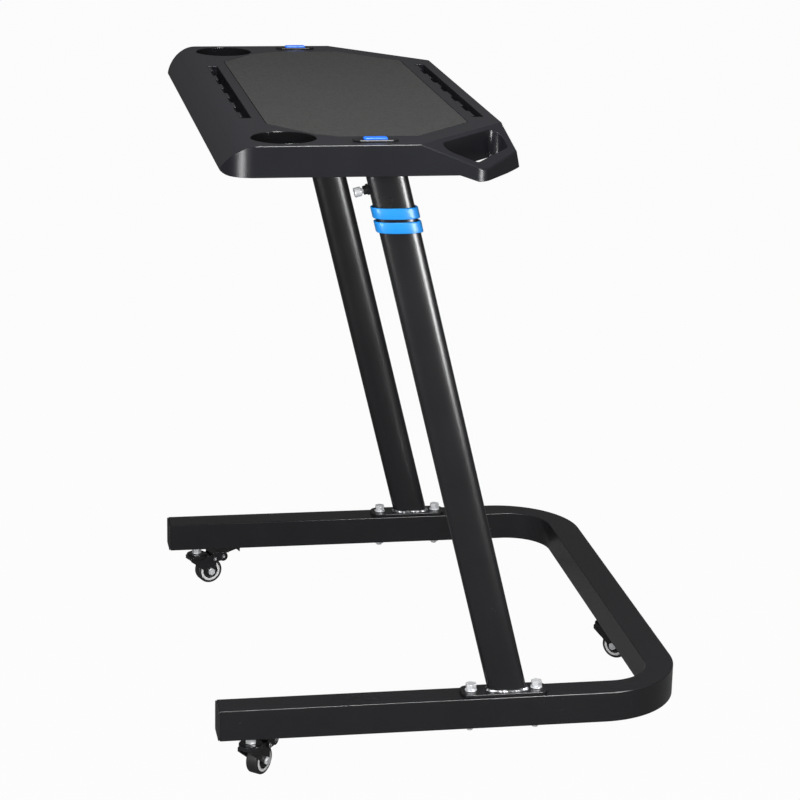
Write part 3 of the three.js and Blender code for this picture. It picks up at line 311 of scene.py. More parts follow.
def make_weld():
    """Painted weld: glossy black with patches of bright bare metal in a slow cloud."""
    material, tree = new_material("weld")
    skin = place_group(tree, fine_skin, Grain_Size=1.6, Mottle_Size=5)
    limits = {"Value": skin["Mottle"], "From Min": 0.5, "From Max": 0.58}
    steel = add_node(tree, "ShaderNodeMapRange", limits).outputs["Result"]
    return end_material(material, skin["Height"], 0.6, 0.2, {
        "Base Color": tones(tree, steel, (0.02, 0.02, 0.022), (0.55, 0.56, 0.58)),
        "Roughness": spread(tree, skin["Height"], 0.2, 0.4),
        "Metallic": steel,
    })


finishes = {**coats, "mat_rubber": make_mat_rubber(), "zinc": make_zinc(), "weld": make_weld()}
print("finishes", len(bpy.data.materials))

# %% [markdown]
# ## Mesh helpers
# Most pieces here are drawn as designers draw them: an outline with rounded corners, moved
# inwards or outwards, and rings of such outlines joined into a skin. Small helpers keep each
# piece to a few lines.

# %% Outlines
wide_corner, wide_factor = 30 * mm, 3
tiny = 0.001 * mm


def edge_line(start, end, inset):
    """A point and the direction of the line between two corners, moved inwards."""
    along = (Vector(end[:2]) - Vector(start[:2])).normalized()
    inward = Vector((-along.y, along.x))
    return Vector(start[:2]) + inward * inset, along


def crossing(first, second):
    """Where two lines meet."""
    (point, along), (other, aside) = first, second
    return point + along * ((other - point).cross(aside) / along.cross(aside))


def rounded(corners, inset=0, steps=8):
    """The points of an outline of (x, y, radius) corners in anticlockwise order, moved
    inwards and rounded. A negative radius marks a hollow corner, and wide ones take more
    steps."""
    count = len(corners)
    lines = [edge_line(corners[i], corners[(i + 1) % count], inset) for i in range(count)]
    points = []
    for i, (_, _, wanted) in enumerate(corners):
        before, after = lines[i - 1], lines[i]
        side = 1 if wanted > 0 else -1
        radius = max(abs(wanted) - side * inset, 0.1 * mm)
        bend = math.atan2(abs(before[1].cross(after[1])), before[1].dot(after[1]))
        start = crossing(before, after) - before[1] * radius * math.tan(bend / 2)
        centre = start + Vector((-before[1].y, before[1].x)) * side * radius
        count_here = steps * wide_factor if abs(wanted) > wide_corner else steps
        for step in range(count_here + 1):
            spoke = start - centre
            spoke.rotate(Matrix.Rotation(side * bend * step / count_here, 2))
            points.append(centre + spoke)
    return points


def rectangle(width, height, corner, inset=0, steps=8):
    """A rectangle with round corners about the origin."""
    x, y = width / 2, height / 2
    corners = [(-x, -y, corner), (x, -y, corner), (x, y, corner), (-x, y, corner)]
    return rounded(corners, inset, steps)


def circle(radius, steps=64):
    """Points evenly round the origin."""
    turns = [2 * math.pi * i / steps for i in range(steps)]
    return [Vector((math.cos(t), math.sin(t))) * radius for t in turns]


def raised(outline, z):
    """An outline at a height."""
    return [Vector((p.x, p.y, z)) for p in outline]


def quarter(steps=4):
    """Sine and one minus cosine along a quarter turn, for rounded rims."""
    turns = [i / steps * math.pi / 2 for i in range(steps + 1)]
    return [(math.sin(t), 1 - math.cos(t)) for t in turns]


# %% [markdown]
# ## Skins and cuts
# Rings with as many points each are joined by four-sided faces. A tube with an open bore is a
# skin that runs out along its wall and back inside, so it closes on itself. Pockets and holes
# are cut with Blender's exact boolean, and every hard edge gets a fine bevel afterwards,
# because no edge on a real part is perfectly sharp.

# %% Skins


def new_piece(name, rings, faces):
    """A linked mesh object on rings of points, with its faces turned outwards."""
    mesh = bpy.data.meshes.new(name)
    mesh.from_pydata([tuple(p) for ring in rings for p in ring], [], faces)
    work = bmesh.new()
    work.from_mesh(mesh)
    bmesh.ops.remove_doubles(work, verts=work.verts, dist=tiny)
    bmesh.ops.recalc_face_normals(work, faces=work.faces)
    work.to_mesh(mesh)
    work.free()
    piece = bpy.data.objects.new(name, mesh)
    bpy.context.scene.collection.objects.link(piece)
    return piece


def skin_faces(rings, closed=False):
    """Four-sided faces between neighbouring rings, and from the last to the first if closed."""
    count = len(rings[0])
    faces = []
    for r in range(len(rings) if closed else len(rings) - 1):
        here, there = r * count, (r + 1) % len(rings) * count
        for i in range(count):
            j = (i + 1) % count
            faces.append((here + i, here + j, there + j, there + i))
    return faces


def solid(name, rings):
    """A closed piece through rings, whose first and last ring are filled."""
    count = len(rings[0])
    last = count * (len(rings) - 1)
    ends = [tuple(range(count)), tuple(range(last, last + count))]
    return new_piece(name, rings, skin_faces(rings) + ends)


def sleeve(name, rings):
    """A piece whose rings run out along its outside and back along its inside."""
    return new_piece(name, rings, skin_faces(rings, True))


def rimmed(ring, low, high, rim):
    """Rings of an upright wall with rounded rims. The ring is a function of inset and height."""
    lower = [ring(rim * (1 - s), low + rim * c) for s, c in quarter()]
    return lower + [ring(rim * (1 - s), high - rim * c) for s, c in reversed(quarter())]


def lathe(name, pairs, steps=96):
    """A closed profile of (radius, height) pairs, turned about Z."""
    rings = [raised(circle(max(r, tiny), steps), z) for r, z in pairs]
    return sleeve(name, rings)


def turn_to(piece, matrix):
    """The piece's mesh moved by a matrix, so that its object stays at the origin."""
    piece.data.transform(matrix)
    piece.data.update()
    return piece


def prism(name, outline, low, high):
    """An outline in X and Y, raised from low to high."""
    return solid(name, [raised(outline, low), raised(outline, high)])


def upright(radius, low, high, x, y, steps=64):
    """An upright round cutter."""
    piece = prism("pin", circle(radius, steps), low, high)
    return turn_to(piece, Matrix.Translation((x, y, 0)))


def combine(piece, other, operation="DIFFERENCE"):
    """The piece cut by, joined with or limited to another, which is used up."""
    change = piece.modifiers.new("combine", "BOOLEAN")
    change.operation, change.solver, change.object = operation, "EXACT", other
    shown = bpy.context.evaluated_depsgraph_get()
    made = bpy.data.meshes.new_from_object(piece.evaluated_get(shown))
    piece.modifiers.clear()
    piece.data = made
    bpy.data.objects.remove(other)
    return piece


def soften(piece, width=0.4, angle=25, segments=2):
    """Smooth shading with a fine bevel on every edge sharper than the angle."""
    piece.data.shade_smooth()
    edge = piece.modifiers.new("edge", "BEVEL")
    edge.limit_method, edge.angle_limit = "ANGLE", math.radians(angle)
    edge.width, edge.segments, edge.use_clamp_overlap = width * mm, segments, False
    edge.miter_outer = "MITER_ARC"
    normals = piece.modifiers.new("normals", "WEIGHTED_NORMAL")
    normals.keep_sharp = True
    return piece


def show(piece, body, slot, *nodes, finish=None):
    """Gives a finished piece its finish and its body, and hides the nodes it stands for. Its finish is
    the one named by the slot, unless another is named."""
    piece.data.materials.clear()
    piece.data.materials.append(finishes[finish or slot])
    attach(piece, body)
    if nodes:
        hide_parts(*nodes)
    return piece


# %% [markdown]
# ## Places taken from the frame
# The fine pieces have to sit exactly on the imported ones, so their places are read from the
# packed boxes. Only sizes that a box doesn't tell, such as the lean of the posts, are named.

# %% Places
sides = (("near", -1), ("far", 1))
rail_low, rail_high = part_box("side_rail_near")
rail_size = rail_high.z - rail_low.z
rail_bottom, rail_top = rail_low.z, rail_high.z
rail_middle_y = -rail_low.y - rail_size / 2
cross_end_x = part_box("cross_rail")[1].x
post_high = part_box("outer_post_near")[1]

post_lean = math.radians(14.25)
post_wide, post_thick, post_wall = 51 * mm, 25 * mm, 1.5 * mm
foot_length, foot_width, foot_thick, foot_corner = 117 * mm, 36 * mm, 4 * mm, 12 * mm
post_offset = 4.5 * mm
seat_gap = 0.3 * mm
foot_x = post_high.x - foot_length / 2
plate_top = rail_top + seat_gap + foot_thick
post_top_z = post_high.z - post_wide / 2 * math.sin(post_lean)


def post_axis_x(z):
    """X of the posts' axes at a height."""
    return foot_x + post_offset - (z - plate_top) * math.tan(post_lean)


def along_post(y):
    """The matrix that stands a piece built about Z on a post's axis, from its top down."""
    place = Matrix.Translation((post_axis_x(post_top_z), y, post_top_z))
    return place @ Matrix.Rotation(-post_lean, 4, "Y")


print("rail", round(rail_size / mm, 1), "mm, post top", round(post_top_z / mm, 1), "mm")

# %% [markdown]
# ## Base rails
# The paint hides the joints of the square tube, so it shows as one tube with two bends. Its
# section is carried between an inner and an outer wall, each with a bend of its own, because
# the outer bend in the photograph is slacker than a wall of even width would give. The bends
# take many short steps, so their long highlights stay smooth.

# %% Base rails
rail_edge = 1.2 * mm
rail_wall = 1.6 * mm
outer_bend, inner_bend = 122 * mm, 63 * mm
bend_steps = 40


def wall_path(bend, inset):
    """One side wall of the near half: its free end, then its bend into the cross rail."""
    centre = Vector((cross_end_x - inset - bend, -rail_middle_y - rail_size / 2 + inset + bend))
    points = [(rail_low.x, centre.y - bend)]
    for step in range(bend_steps + 1):
        angle = step / bend_steps * math.pi / 2
        points.append((centre.x + bend * math.sin(angle), centre.y - bend * math.cos(angle)))
    return [Vector(p) for p in points]


def both_sides(points):
    """The near half's points and their mirror images, from the near end to the far one."""
    return points + [Vector((p.x, -p.y)) for p in reversed(points)]


def carried(section, inner, outer):
    """The section's rings between the tube's inner and outer wall."""
    z = rail_bottom + rail_size / 2
    rings = []
    for here, there in zip(inner, outer):
        places = [(here.lerp(there, p.x / rail_size + 0.5), z + p.y) for p in section]
        rings.append([Vector((place.x, place.y, height)) for place, height in places])
    return rings


outer_wall = both_sides(wall_path(outer_bend, 0))
inner_wall = both_sides(wall_path(inner_bend, rail_size))
outside = carried(rectangle(rail_size, rail_size, rail_edge), inner_wall, outer_wall)
inside = carried(rectangle(rail_size, rail_size, rail_edge, rail_wall), inner_wall, outer_wall)
rail = soften(sleeve("bent_rail", outside + inside[::-1]))
show(rail, "base", "black_coat", "side_rail_near", "side_rail_far", "cross_rail")
print("bend takes", bend_steps, "steps of", round(90 / bend_steps, 2), "degrees")

# %% [markdown]
# ## Posts and feet
# A flat-sided oval tube leans towards the rider and is welded to a foot plate all round. It
# runs from a level ring at the plate to a ring square to its axis at the top. The weld is a
# bead whose thickness ripples, as the welder's steps leave it, and it was painted over.

# %% Posts and feet
oval_power = 2.5
foot_bolt_spacing = 89 * mm
foot_hole = 4.35 * mm
weld_radius = 2.9 * mm
weld_ripple = 0.16
weld_pitch = 2.4 * mm
weld_out, weld_up = 0.2 * mm, 0.5 * mm
plate_rim = 0.8 * mm


def oval(width, thick, inset=0, steps=96):
    """A flat-sided oval whose sides are slightly crowned, as drawn oval tube is."""
    half_width, half_thick = width / 2 - inset, thick / 2 - inset
    points = []
    for i in range(steps):
        turn = 2 * math.pi * (i + 0.5) / steps
        across = math.copysign(abs(math.cos(turn)) ** (2 / oval_power), math.cos(turn))
        through = math.copysign(abs(math.sin(turn)) ** (2 / oval_power), math.sin(turn))
        points.append(Vector((half_width * across, half_thick * through)))
    return points


def level_ring(outline, z, y):
    """The level cut of a leaning tube's outline."""
    stretch = 1 / math.cos(post_lean)
    return [Vector((post_axis_x(z) + p.x * stretch, y + p.y, z)) for p in outline]


def post_tube(name, y):
    """An outer tube, open at both ends."""
    stand = along_post(y)
    outline = oval(post_wide, post_thick)
    bore = oval(post_wide, post_thick, post_wall)
    top = [stand @ p for p in raised(outline, 0)]
    top_inside = [stand @ p for p in raised(bore, 0)]
    rings = [level_ring(outline, plate_top, y), top, top_inside, level_ring(bore, plate_top, y)]
    return sleeve(name, rings)


def foot_plate(name, y):
    """The plate under a post, with its two bolt holes."""
    def ring(inset, z):
        return raised(rectangle(foot_length, foot_width, foot_corner, inset), z)

    piece = solid(name, rimmed(ring, plate_top - foot_thick, plate_top, plate_rim))
    turn_to(piece, Matrix.Translation((foot_x, y, 0)))
    for sign in (-1, 1):
        x = foot_x + sign * foot_bolt_spacing / 2
        combine(piece, upright(foot_hole, 0, 2 * plate_top, x, y))
    return piece


def walk(outline, count):
    """Points spaced evenly along a closed outline, with their outward directions."""
    lengths = [(outline[(i + 1) % len(outline)] - p).length for i, p in enumerate(outline)]
    whole = sum(lengths)
    points = []
    i, passed = 0, 0
    for k in range(count):
        wanted = whole * k / count
        while passed + lengths[i] < wanted:
            passed += lengths[i]
            i += 1
        start, end = outline[i], outline[(i + 1) % len(outline)]
        along = (end - start).normalized()
        place = start.lerp(end, (wanted - passed) / lengths[i])
        points.append((place, Vector((along.y, -along.x))))
    return points, whole


def weld_bead(name, y, count=420, around=10):
    """A rippled bead round the tube's foot."""
    stretch = 1 / math.cos(post_lean)
    outline = [Vector((p.x * stretch, p.y)) for p in oval(post_wide, post_thick)]
    points, whole = walk(outline, count)
    ripples = round(whole / weld_pitch)
    rings = []
    for k, (point, out) in enumerate(points):
        wave = abs(math.sin(math.pi * ripples * k / count))
        radius = weld_radius * (1 - weld_ripple + weld_ripple * wave)
        ring = []
        for i in range(around):
            angle = 2 * math.pi * i / around
            place = point + out * (radius * math.cos(angle) + weld_out)
            height = plate_top + weld_up + radius * math.sin(angle)
            ring.append(Vector((post_axis_x(height) + place.x, y + place.y, height)))
        rings.append(ring)
    return sleeve(name, rings)


for side, sign in sides:
    y = sign * rail_middle_y
    tube = soften(post_tube(f"post_tube_{side}", y), 0.3)
    show(tube, "base", "black_coat", f"outer_post_{side}")
    show(soften(foot_plate(f"foot_plate_{side}", y)), "base", "black_coat")
    bead = weld_bead(f"weld_bead_{side}", y)
    bead.data.shade_smooth()
    show(bead, "base", "black_coat", finish="weld")
print("posts lean", round(math.degrees(post_lean), 2), "degrees")

# %% [markdown]
# ## Bands
# Two plastic bands sit round the top of each outer tube. Their rims are level while the tube
# leans, so their walls are rings of level ovals that follow the leaning axis, with round rims.

# %% Bands
band_wide = 60 * mm
band_wall = 3 * mm
band_rim = 1.2 * mm
band_thick = post_thick + 2 * (seat_gap + band_wall)


def band(name, node, y):
    """A blue band as high as its node's box."""
    def ring(inset, z):
        outline = oval(band_wide, band_thick, inset)
        return [Vector((post_axis_x(z) + p.x, y + p.y, z)) for p in outline]

    low, high = (corner.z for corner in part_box(node))
    outside = rimmed(ring, low, high, band_rim)
    inside = rimmed(lambda inset, z: ring(band_wall - inset, z), low, high, band_rim)
    piece = sleeve(name, outside + inside[::-1])
    piece.data.shade_smooth()
    return piece


for side, sign in sides:
    for level in ("upper", "lower"):
        piece = band(f"{level}_blue_band_{side}", f"{level}_band_{side}", sign * rail_middle_y)
        show(piece, "base", "band_blue", f"{level}_band_{side}")
print("bands are", round(band_thick / mm, 1), "mm thick over the tube")

# %% [markdown]
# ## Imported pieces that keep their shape
# Fasteners, forks, pedals, guides, caps, pins, inner posts and the support bar have the right
# shape already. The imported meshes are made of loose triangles, so a Weld modifier joins them,
# Decimate merges what is flat, and the same fine bevel as above rounds their edges.

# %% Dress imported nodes


def dress(node, finish, width=0.3, angle=35):
    """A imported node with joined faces, rounded edges and its finish."""
    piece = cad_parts[node]
    for name in ("custom_normal", "sharp_edge", "sharp_face"):
        found = piece.data.attributes.get(name)
        if found:
            piece.data.attributes.remove(found)
    weld = piece.modifiers.new("weld", "WELD")
    weld.merge_threshold = 0.005 * mm
    flat = piece.modifiers.new("flat", "DECIMATE")
    flat.decimate_type, flat.angle_limit = "DISSOLVE", math.radians(0.5)
    soften(piece, width, angle)
    for slot in piece.material_slots:
        slot.material = finishes[finish]
    return piece


coated_nodes = ["support_bar"]
zinc_nodes = []
for side, _ in sides:
    coated_nodes += [f"inner_post_{side}"]
    zinc_nodes += [f"joint_screw_{side}", f"desk_bolt_{side}", f"pin_plunger_{side}"]
    zinc_nodes += [
        f"foot_{kind}_{end}_{side}" for kind in ("bolt", "washer", "nut") for end in ("front", "rear")
    ]
    dress(f"rail_cap_{side}", "plug_plastic", 0.5)
    dress(f"post_bushing_{side}", "plug_plastic")
    dress(f"pin_housing_{side}", "cap_black", 0.4)
    dress(f"cap_frame_{side}", "cap_black", 0.3, 20)
    dress(f"cap_insert_{side}", "cap_blue", 0.3, 20)
casters = ("front_near", "front_far", "rear")
for caster in casters:
    coated_nodes += [f"{caster}_fork", f"{caster}_brake_pedal"]
    zinc_nodes += [f"{caster}_stem", f"{caster}_stem_nut", f"{caster}_axle"]
for node in coated_nodes:
    dress(node, "black_coat", 0.25)
for node in zinc_nodes:
    dress(node, "zinc", 0.35)
print("dressed", len(coated_nodes) + len(zinc_nodes) + 5 * len(sides), "packed nodes")

# %% [markdown]
# ## Wheels
# Each wheel is a moulded disc with round shoulders, a shallow web and a hub, and a white ring
# on each face. Both are turned profiles, like work from a lathe. The axle's box gives the
# middle, and the caster's angle is the only other thing needed.

# %% Wheels
wheel_radius = 20 * mm
wheel_width = 17 * mm
wheel_shoulder = 2.4 * mm
ring_inner, ring_outer, ring_proud = 12 * mm, 15.8 * mm, 0.35 * mm
ring_gap, ring_sink = 0.1 * mm, 0.4 * mm
web_depth = 2.2 * mm
hub_radius = 5.6 * mm
bore_radius = 3.35 * mm
hub_reach = 9.3 * mm
caster_turns = {"front_near": 50, "front_far": 18, "rear": -42}


def half_profile():
    """Radius and height of the wheel's surface from its bore out to its tread."""
    face = wheel_width / 2
    shoulder = [
        (wheel_radius - wheel_shoulder * (1 - s), face - wheel_shoulder * c)
        for s, c in quarter(8)
    ]
    return [
        (bore_radius, hub_reach),
        (hub_radius, hub_reach),
        (hub_radius, face - web_depth),
        (ring_inner, face - web_depth),
        (ring_inner, face),
        *shoulder,
    ]


def caster_turn(caster):
    """How far a caster is turned about its stem."""
    return Matrix.Rotation(math.radians(caster_turns[caster]), 4, "Z")


def on_axle(piece, caster):
    """Lays a piece that was turned about Z on the caster's axle."""
    low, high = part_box(f"{caster}_axle")
    tip = Matrix.Rotation(math.pi / 2, 4, "X")
    return turn_to(piece, Matrix.Translation((low + high) / 2) @ caster_turn(caster) @ tip)


def white_ring(name, way):
    """The ring on one face of a wheel, sunk a little into it."""
    face = wheel_width / 2
    profile = [
        (ring_inner + ring_gap, face - ring_sink),
        (ring_outer, face - ring_sink),
        (ring_outer, face + ring_proud / 2),
        (ring_outer - ring_proud / 2, face + ring_proud),
        (ring_inner + ring_proud, face + ring_proud),
        (ring_inner + ring_gap, face + ring_proud / 2),
    ]
    return lathe(name, [(r, way * z) for r, z in profile])


for caster in casters:
    upper = half_profile()
    lower = [(r, -z) for r, z in reversed(upper)]
    wheel = on_axle(lathe(f"{caster}_tyre", upper + lower), caster)
    show(soften(wheel, 0.35), f"{caster}_roller", "wheel_plastic", f"{caster}_wheel")
    for face, way in (("outer", 1), ("inner", -1)):
        ring = on_axle(white_ring(f"{caster}_{face}_ring", way), caster)
        show(soften(ring, 0.15), f"{caster}_roller", "wheel_plastic", finish="ring_white")
print("wheel", round(2 * wheel_radius / mm), "mm across")

# %% [markdown]
# ## Bright rivet heads and the knob's collar
# The brake pedals hang on bright rivets, and a second rivet holds each shoe. The heads on the
# fork stay with the fork and those on the shoe move with the pedal. The knob's collar fills the
# short neck between the knob and its housing.

# %% Small bright parts
pivot_run, pivot_z, pivot_reach = 26.4 * mm, 40 * mm, 15 * mm
shoe_run, shoe_z, shoe_reach = 41 * mm, 42 * mm, 14.65 * mm
head_radius, head_height, head_sink = 3.4 * mm, 1.2 * mm, 0.15 * mm
dome_angles = [math.radians(degrees) for degrees in (0, 25, 45, 65, 80)]


def rivet_head(name, caster, run, z, reach):
    """A domed head on each side of a caster, at a distance from its stem."""
    low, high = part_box(f"{caster}_stem")
    base = reach - head_height + head_sink
    dome = [(head_radius * math.cos(a), base + head_height * math.sin(a)) for a in dome_angles]
    profile = [(0, base), *dome, (0, base + head_height)]
    middle = Vector(((low.x + high.x) / 2, (low.y + high.y) / 2, 0))
    pivot = Matrix.Translation(middle) @ caster_turn(caster) @ Matrix.Translation((run, 0, z))
    heads = []
    for way in (-1, 1):
        tip = Matrix.Rotation(-way * math.pi / 2, 4, "X")
        heads.append(turn_to(lathe(f"{name}_{way}", profile, steps=32), pivot @ tip))
    return combine(heads[0], heads[1], "UNION")


for caster in casters:
    pivot = rivet_head(f"{caster}_pivot_heads", caster, pivot_run, pivot_z, pivot_reach)
    show(soften(pivot, 0.1, 60), f"{caster}_swivel", "zinc")
    shoe = rivet_head(f"{caster}_shoe_heads", caster, shoe_run, shoe_z, shoe_reach)
    show(soften(shoe, 0.1, 60), f"{caster}_brake", "zinc")

pin_drop, collar_low, collar_high = 16.2 * mm, 33.05 * mm, 35.9 * mm
collar_bore, collar_neck, collar_rim = 2.05 * mm, 2.9 * mm, 4 * mm
for side, sign in sides:
    profile = [
        (collar_bore, collar_low), (collar_neck, collar_low),
        (collar_rim, collar_high), (collar_bore, collar_high),
    ]
    aim = Matrix.Translation((0, 0, -pin_drop)) @ Matrix.Rotation(-math.pi / 2, 4, "Y")
    collar = lathe(f"knob_collar_{side}", profile, steps=48)
    turn_to(collar, along_post(sign * rail_middle_y) @ aim)
    show(soften(collar, 0.2, 40), f"pin_{side}", "zinc")
print("rivet heads on", len(casters), "casters")

# %% [markdown]
# ## The moulded top
# The top is one shell with a flat face that falls away in a crease at each handle. It starts
# with the outer form. The hollow under it is cut, ribs, bosses and troughs are added, and holes,
# grips, slots and the mat's recess are cut last. Much of it is inset from one outline.

# %% Outline of the top
desk_low, desk_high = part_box("desk_shell")
desk_edge_x, desk_top_z, half_desk = desk_low.x, desk_high.z, desk_high.y
desk_depth = 377.5 * mm
desk_wall, desk_top, skirt_depth = 3.2 * mm, 4 * mm, 39.5 * mm
top_edge_radius = 2.5 * mm
handle_depth = 48 * mm
handle_slope = 0.54
tip_draft = 4 * mm
tip_start, tip_run = 45 * mm, 40 * mm
draft_start, draft_run = 9 * mm, 20 * mm
shoulder_start, shoulder_end = 37 * mm, 55 * mm
crease_aside, crease_away = 133 * mm, 147.5 * mm
overrun = 6 * mm
below_all = -handle_depth - overrun

near_corners = [
    (0, -half_desk, 42 * mm),
    (desk_depth - 50 * mm, -half_desk, 24 * mm),
    (desk_depth + 11.5 * mm, -half_desk + 83 * mm, 8 * mm),
    (desk_depth, -half_desk + 142 * mm, -6 * mm),
]


def both_halves(near):
    """The near half's corners followed by their mirror images."""
    return [*near, *[(x, -y, r) for x, y, r in reversed(near)]]


desk_corners = both_halves(near_corners)
crease_start = Vector((desk_depth - crease_aside, -half_desk))
crease_end = Vector((desk_depth, -half_desk + crease_away))
crease_along = (crease_end - crease_start).normalized()
crease_out = Vector((crease_along.y, -crease_along.x))


def past_crease(point):
    """Distance past the crease, of the handle on the point's own side."""
    near = Vector((point[0], -abs(point[1])))
    return (near - crease_start).dot(crease_out)


def creased_outline(inset):
    """The desk's outline with a point added wherever a crease meets it."""
    points = rounded(desk_corners, inset, 8)
    outline = []
    for i, point in enumerate(points):
        after = points[(i + 1) % len(points)]
        stops = [point, (point + after) / 2, after] if point.y * after.y < 0 else [point, after]
        outline.append(point)
        for here, there in zip(stops, stops[1:]):
            a, b = past_crease(here), past_crease(there)
            if a * b < 0:
                outline.append(here.lerp(there, a / (a - b)))
    return outline


def creased_faces(outline):
    """Three flat faces that fill a creased outline and meet at the creases."""
    edge = 0.01 * mm
    flat = [i for i, p in enumerate(outline) if past_crease(p) < edge]
    near = [i for i, p in enumerate(outline) if past_crease(p) > -edge and p.y < 0]
    far = [i for i, p in enumerate(outline) if past_crease(p) > -edge and p.y > 0]
    return [tuple(flat), tuple(near), tuple(far)]


print("top", round(2 * half_desk / mm), "by", round(desk_depth / mm), "mm")

# %% [markdown]
# ## Cutters for the top
# The nose towards the rider is an arc with a tucked-in foot. Grips follow the handle's
# own edges, and slots are notched on one side so that a tablet can lean at several angles.

# %% Forms and cutters of the top
nose_run, nose_drop, nose_foot = 46 * mm, 34 * mm, 14 * mm
nose_turn = math.radians(65)
nose_foot_steps = 8


def leaning_outline(inset):
    """The creased outline, with the handles' ends moved in so that they lean."""
    upright_points, leaning_points = creased_outline(inset), creased_outline(inset + tip_draft)
    outline = []
    for here, there in zip(upright_points, leaning_points):
        near_tip = min(max((here.x - desk_depth + tip_start) / tip_run, 0), 1)
        past = min(max((past_crease(here) - draft_start) / draft_run, 0), 1)
        outline.append(here.lerp(there, near_tip * past))
    return outline


def desk_form():
    """Flat top with a rounded edge, and two handles that fall away."""
    rings = []
    for s, c in quarter(6):
        outline = leaning_outline(top_edge_radius * (1 - s))
        fall = [handle_slope * max(past_crease(p), 0) for p in outline]
        rings.append([
            Vector((p.x, p.y, -f - top_edge_radius * c)) for p, f in zip(outline, fall)
        ])
    rings.append(raised(creased_outline(0), -handle_depth))
    count = len(rings[0])
    last = count * (len(rings) - 1)
    top = creased_faces(leaning_outline(top_edge_radius))
    bottom = [tuple(last + i for i in face) for face in creased_faces(creased_outline(0))]
    return new_piece("desk_top_shell", rings, skin_faces(rings) + top + bottom)


def nose_cutter(inset, steps=24):
    """What lies outside the rider's edge."""
    outline = [(-overrun, overrun), (nose_run, overrun)]
    for step in range(steps + 1):
        angle = step / steps * nose_turn
        out = math.sin(angle) / math.sin(nose_turn)
        down = (1 - math.cos(angle)) / (1 - math.cos(nose_turn))
        outline.append((nose_run - (nose_run - inset) * out, -inset - (nose_drop - inset) * down))
    for step in range(1, nose_foot_steps + 1):
        angle = step / nose_foot_steps * math.pi / 2
        run = nose_foot - (nose_foot - inset) * math.cos(angle)
        outline.append((run, -nose_drop - (skirt_depth - nose_drop) * math.sin(angle)))
    outline += [(nose_foot, below_all), (-overrun, below_all)]
    ends = (-half_desk - overrun, half_desk + overrun)
    return solid("nose", [[Vector((x, y, z)) for x, z in outline] for y in ends])


def crease_prism(name, outline, sign):
    """A prism along a crease, whose section is (distance past it, height)."""
    rings = []
    for reach in (-2 * half_desk, 2 * half_desk):
        base = crease_start + crease_along * reach
        rings.append([
            Vector((base.x + crease_out.x * s, base.y + crease_out.y * s, z)) for s, z in outline
        ])
    piece = solid(name, rings)
    if sign > 0:
        turn_to(piece, Matrix.Scale(-1, 4, (0, 1, 0)))
        piece.data.flip_normals()
    return piece


def under_cut():
    """Space below the skirt, which leaves only the deeper handles standing."""
    section = [
        (-4 * half_desk, below_all), (shoulder_end, below_all), (shoulder_end, -handle_depth),
        (shoulder_start, -skirt_depth), (-4 * half_desk, -skirt_depth),
    ]
    cut = crease_prism("under", section, -1)
    return combine(cut, crease_prism("under_far", section, 1), "INTERSECT")


def desk_hollow():
    """Hollow under the desk, inside the skirt and short of the handles."""
    hollow = prism("hollow", rounded(desk_corners, desk_wall), below_all, -desk_top)
    low, far = 2 * below_all, 2 * half_desk
    section = [(0, low), (far, low), (far, overrun), (0, overrun)]
    for sign in (-1, 1):
        combine(hollow, crease_prism("handle", section, sign))
    return combine(hollow, nose_cutter(desk_wall))


grip_crease_gap, grip_rim, grip_away_gap, grip_corner = 6 * mm, 12 * mm, 15 * mm, 11 * mm
grip_tip_rim = 14 * mm


def grip_hole(sign):
    """The grip through a handle, with an edge along each of the handle's four sides."""
    lines = [
        edge_line(near_corners[0], near_corners[1], grip_rim),
        edge_line(near_corners[1], near_corners[2], grip_tip_rim),
        edge_line(near_corners[2], near_corners[3], grip_away_gap),
        (crease_start + crease_out * grip_crease_gap, crease_along),
    ]
    corners = [crossing(line, lines[(i + 1) % 4]) for i, line in enumerate(lines)]
    outline = rounded([(p.x, p.y, grip_corner) for p in corners], 0, 12)
    outline = [Vector((p.x, -sign * p.y)) for p in outline]
    return prism("grip", outline, below_all, overrun)


slot_width, slot_depth, slot_wall = 10.5 * mm, 21 * mm, 3 * mm
slot_notch, slot_notch_length, slot_notch_cut = 4 * mm, 40 * mm, 11.5 * mm
slot_notch_pairs = 3
slot_corner, slot_lip = 1.3 * mm, 3 * mm
slots = ((48 * mm, 418 * mm), (351 * mm, 430 * mm))


def slot_outline(inset, length):
    """A tablet slot: straight on the away side, notched towards the rider."""
    end = length / 2
    pitch = (end + slot_notch_cut) / slot_notch_pairs
    corners = [(inset + slot_width, -end, slot_corner), (inset + slot_width, end, slot_corner)]
    for i in range(slot_notch_pairs, -slot_notch_pairs - 1, -1):
        low = max(i * pitch - slot_notch_length / 2, -end)
        high = min(i * pitch + slot_notch_length / 2, end)
        if high < end:
            corners.append((inset, high, -slot_corner))
        corners += [(inset - slot_notch, high, slot_corner), (inset - slot_notch, low, slot_corner)]
        if low > -end:
            corners.append((inset, low, -slot_corner))
    return rounded(corners, 0, 3)


def block(low, high):
    """A box between two corners."""
    outline = [Vector((low[0], low[1])), Vector((high[0], low[1]))]
    outline += [Vector((high[0], high[1])), Vector((low[0], high[1]))]
    return prism("block", outline, low[2], high[2])


# %% [markdown]
# ## Wells, ribs and the mat's recess
# Each cup well is a turned cup with a rounded lip, which fills a round hole in the top. The ribs
# under the top stop at the skirt, because they are trimmed by the outer form.

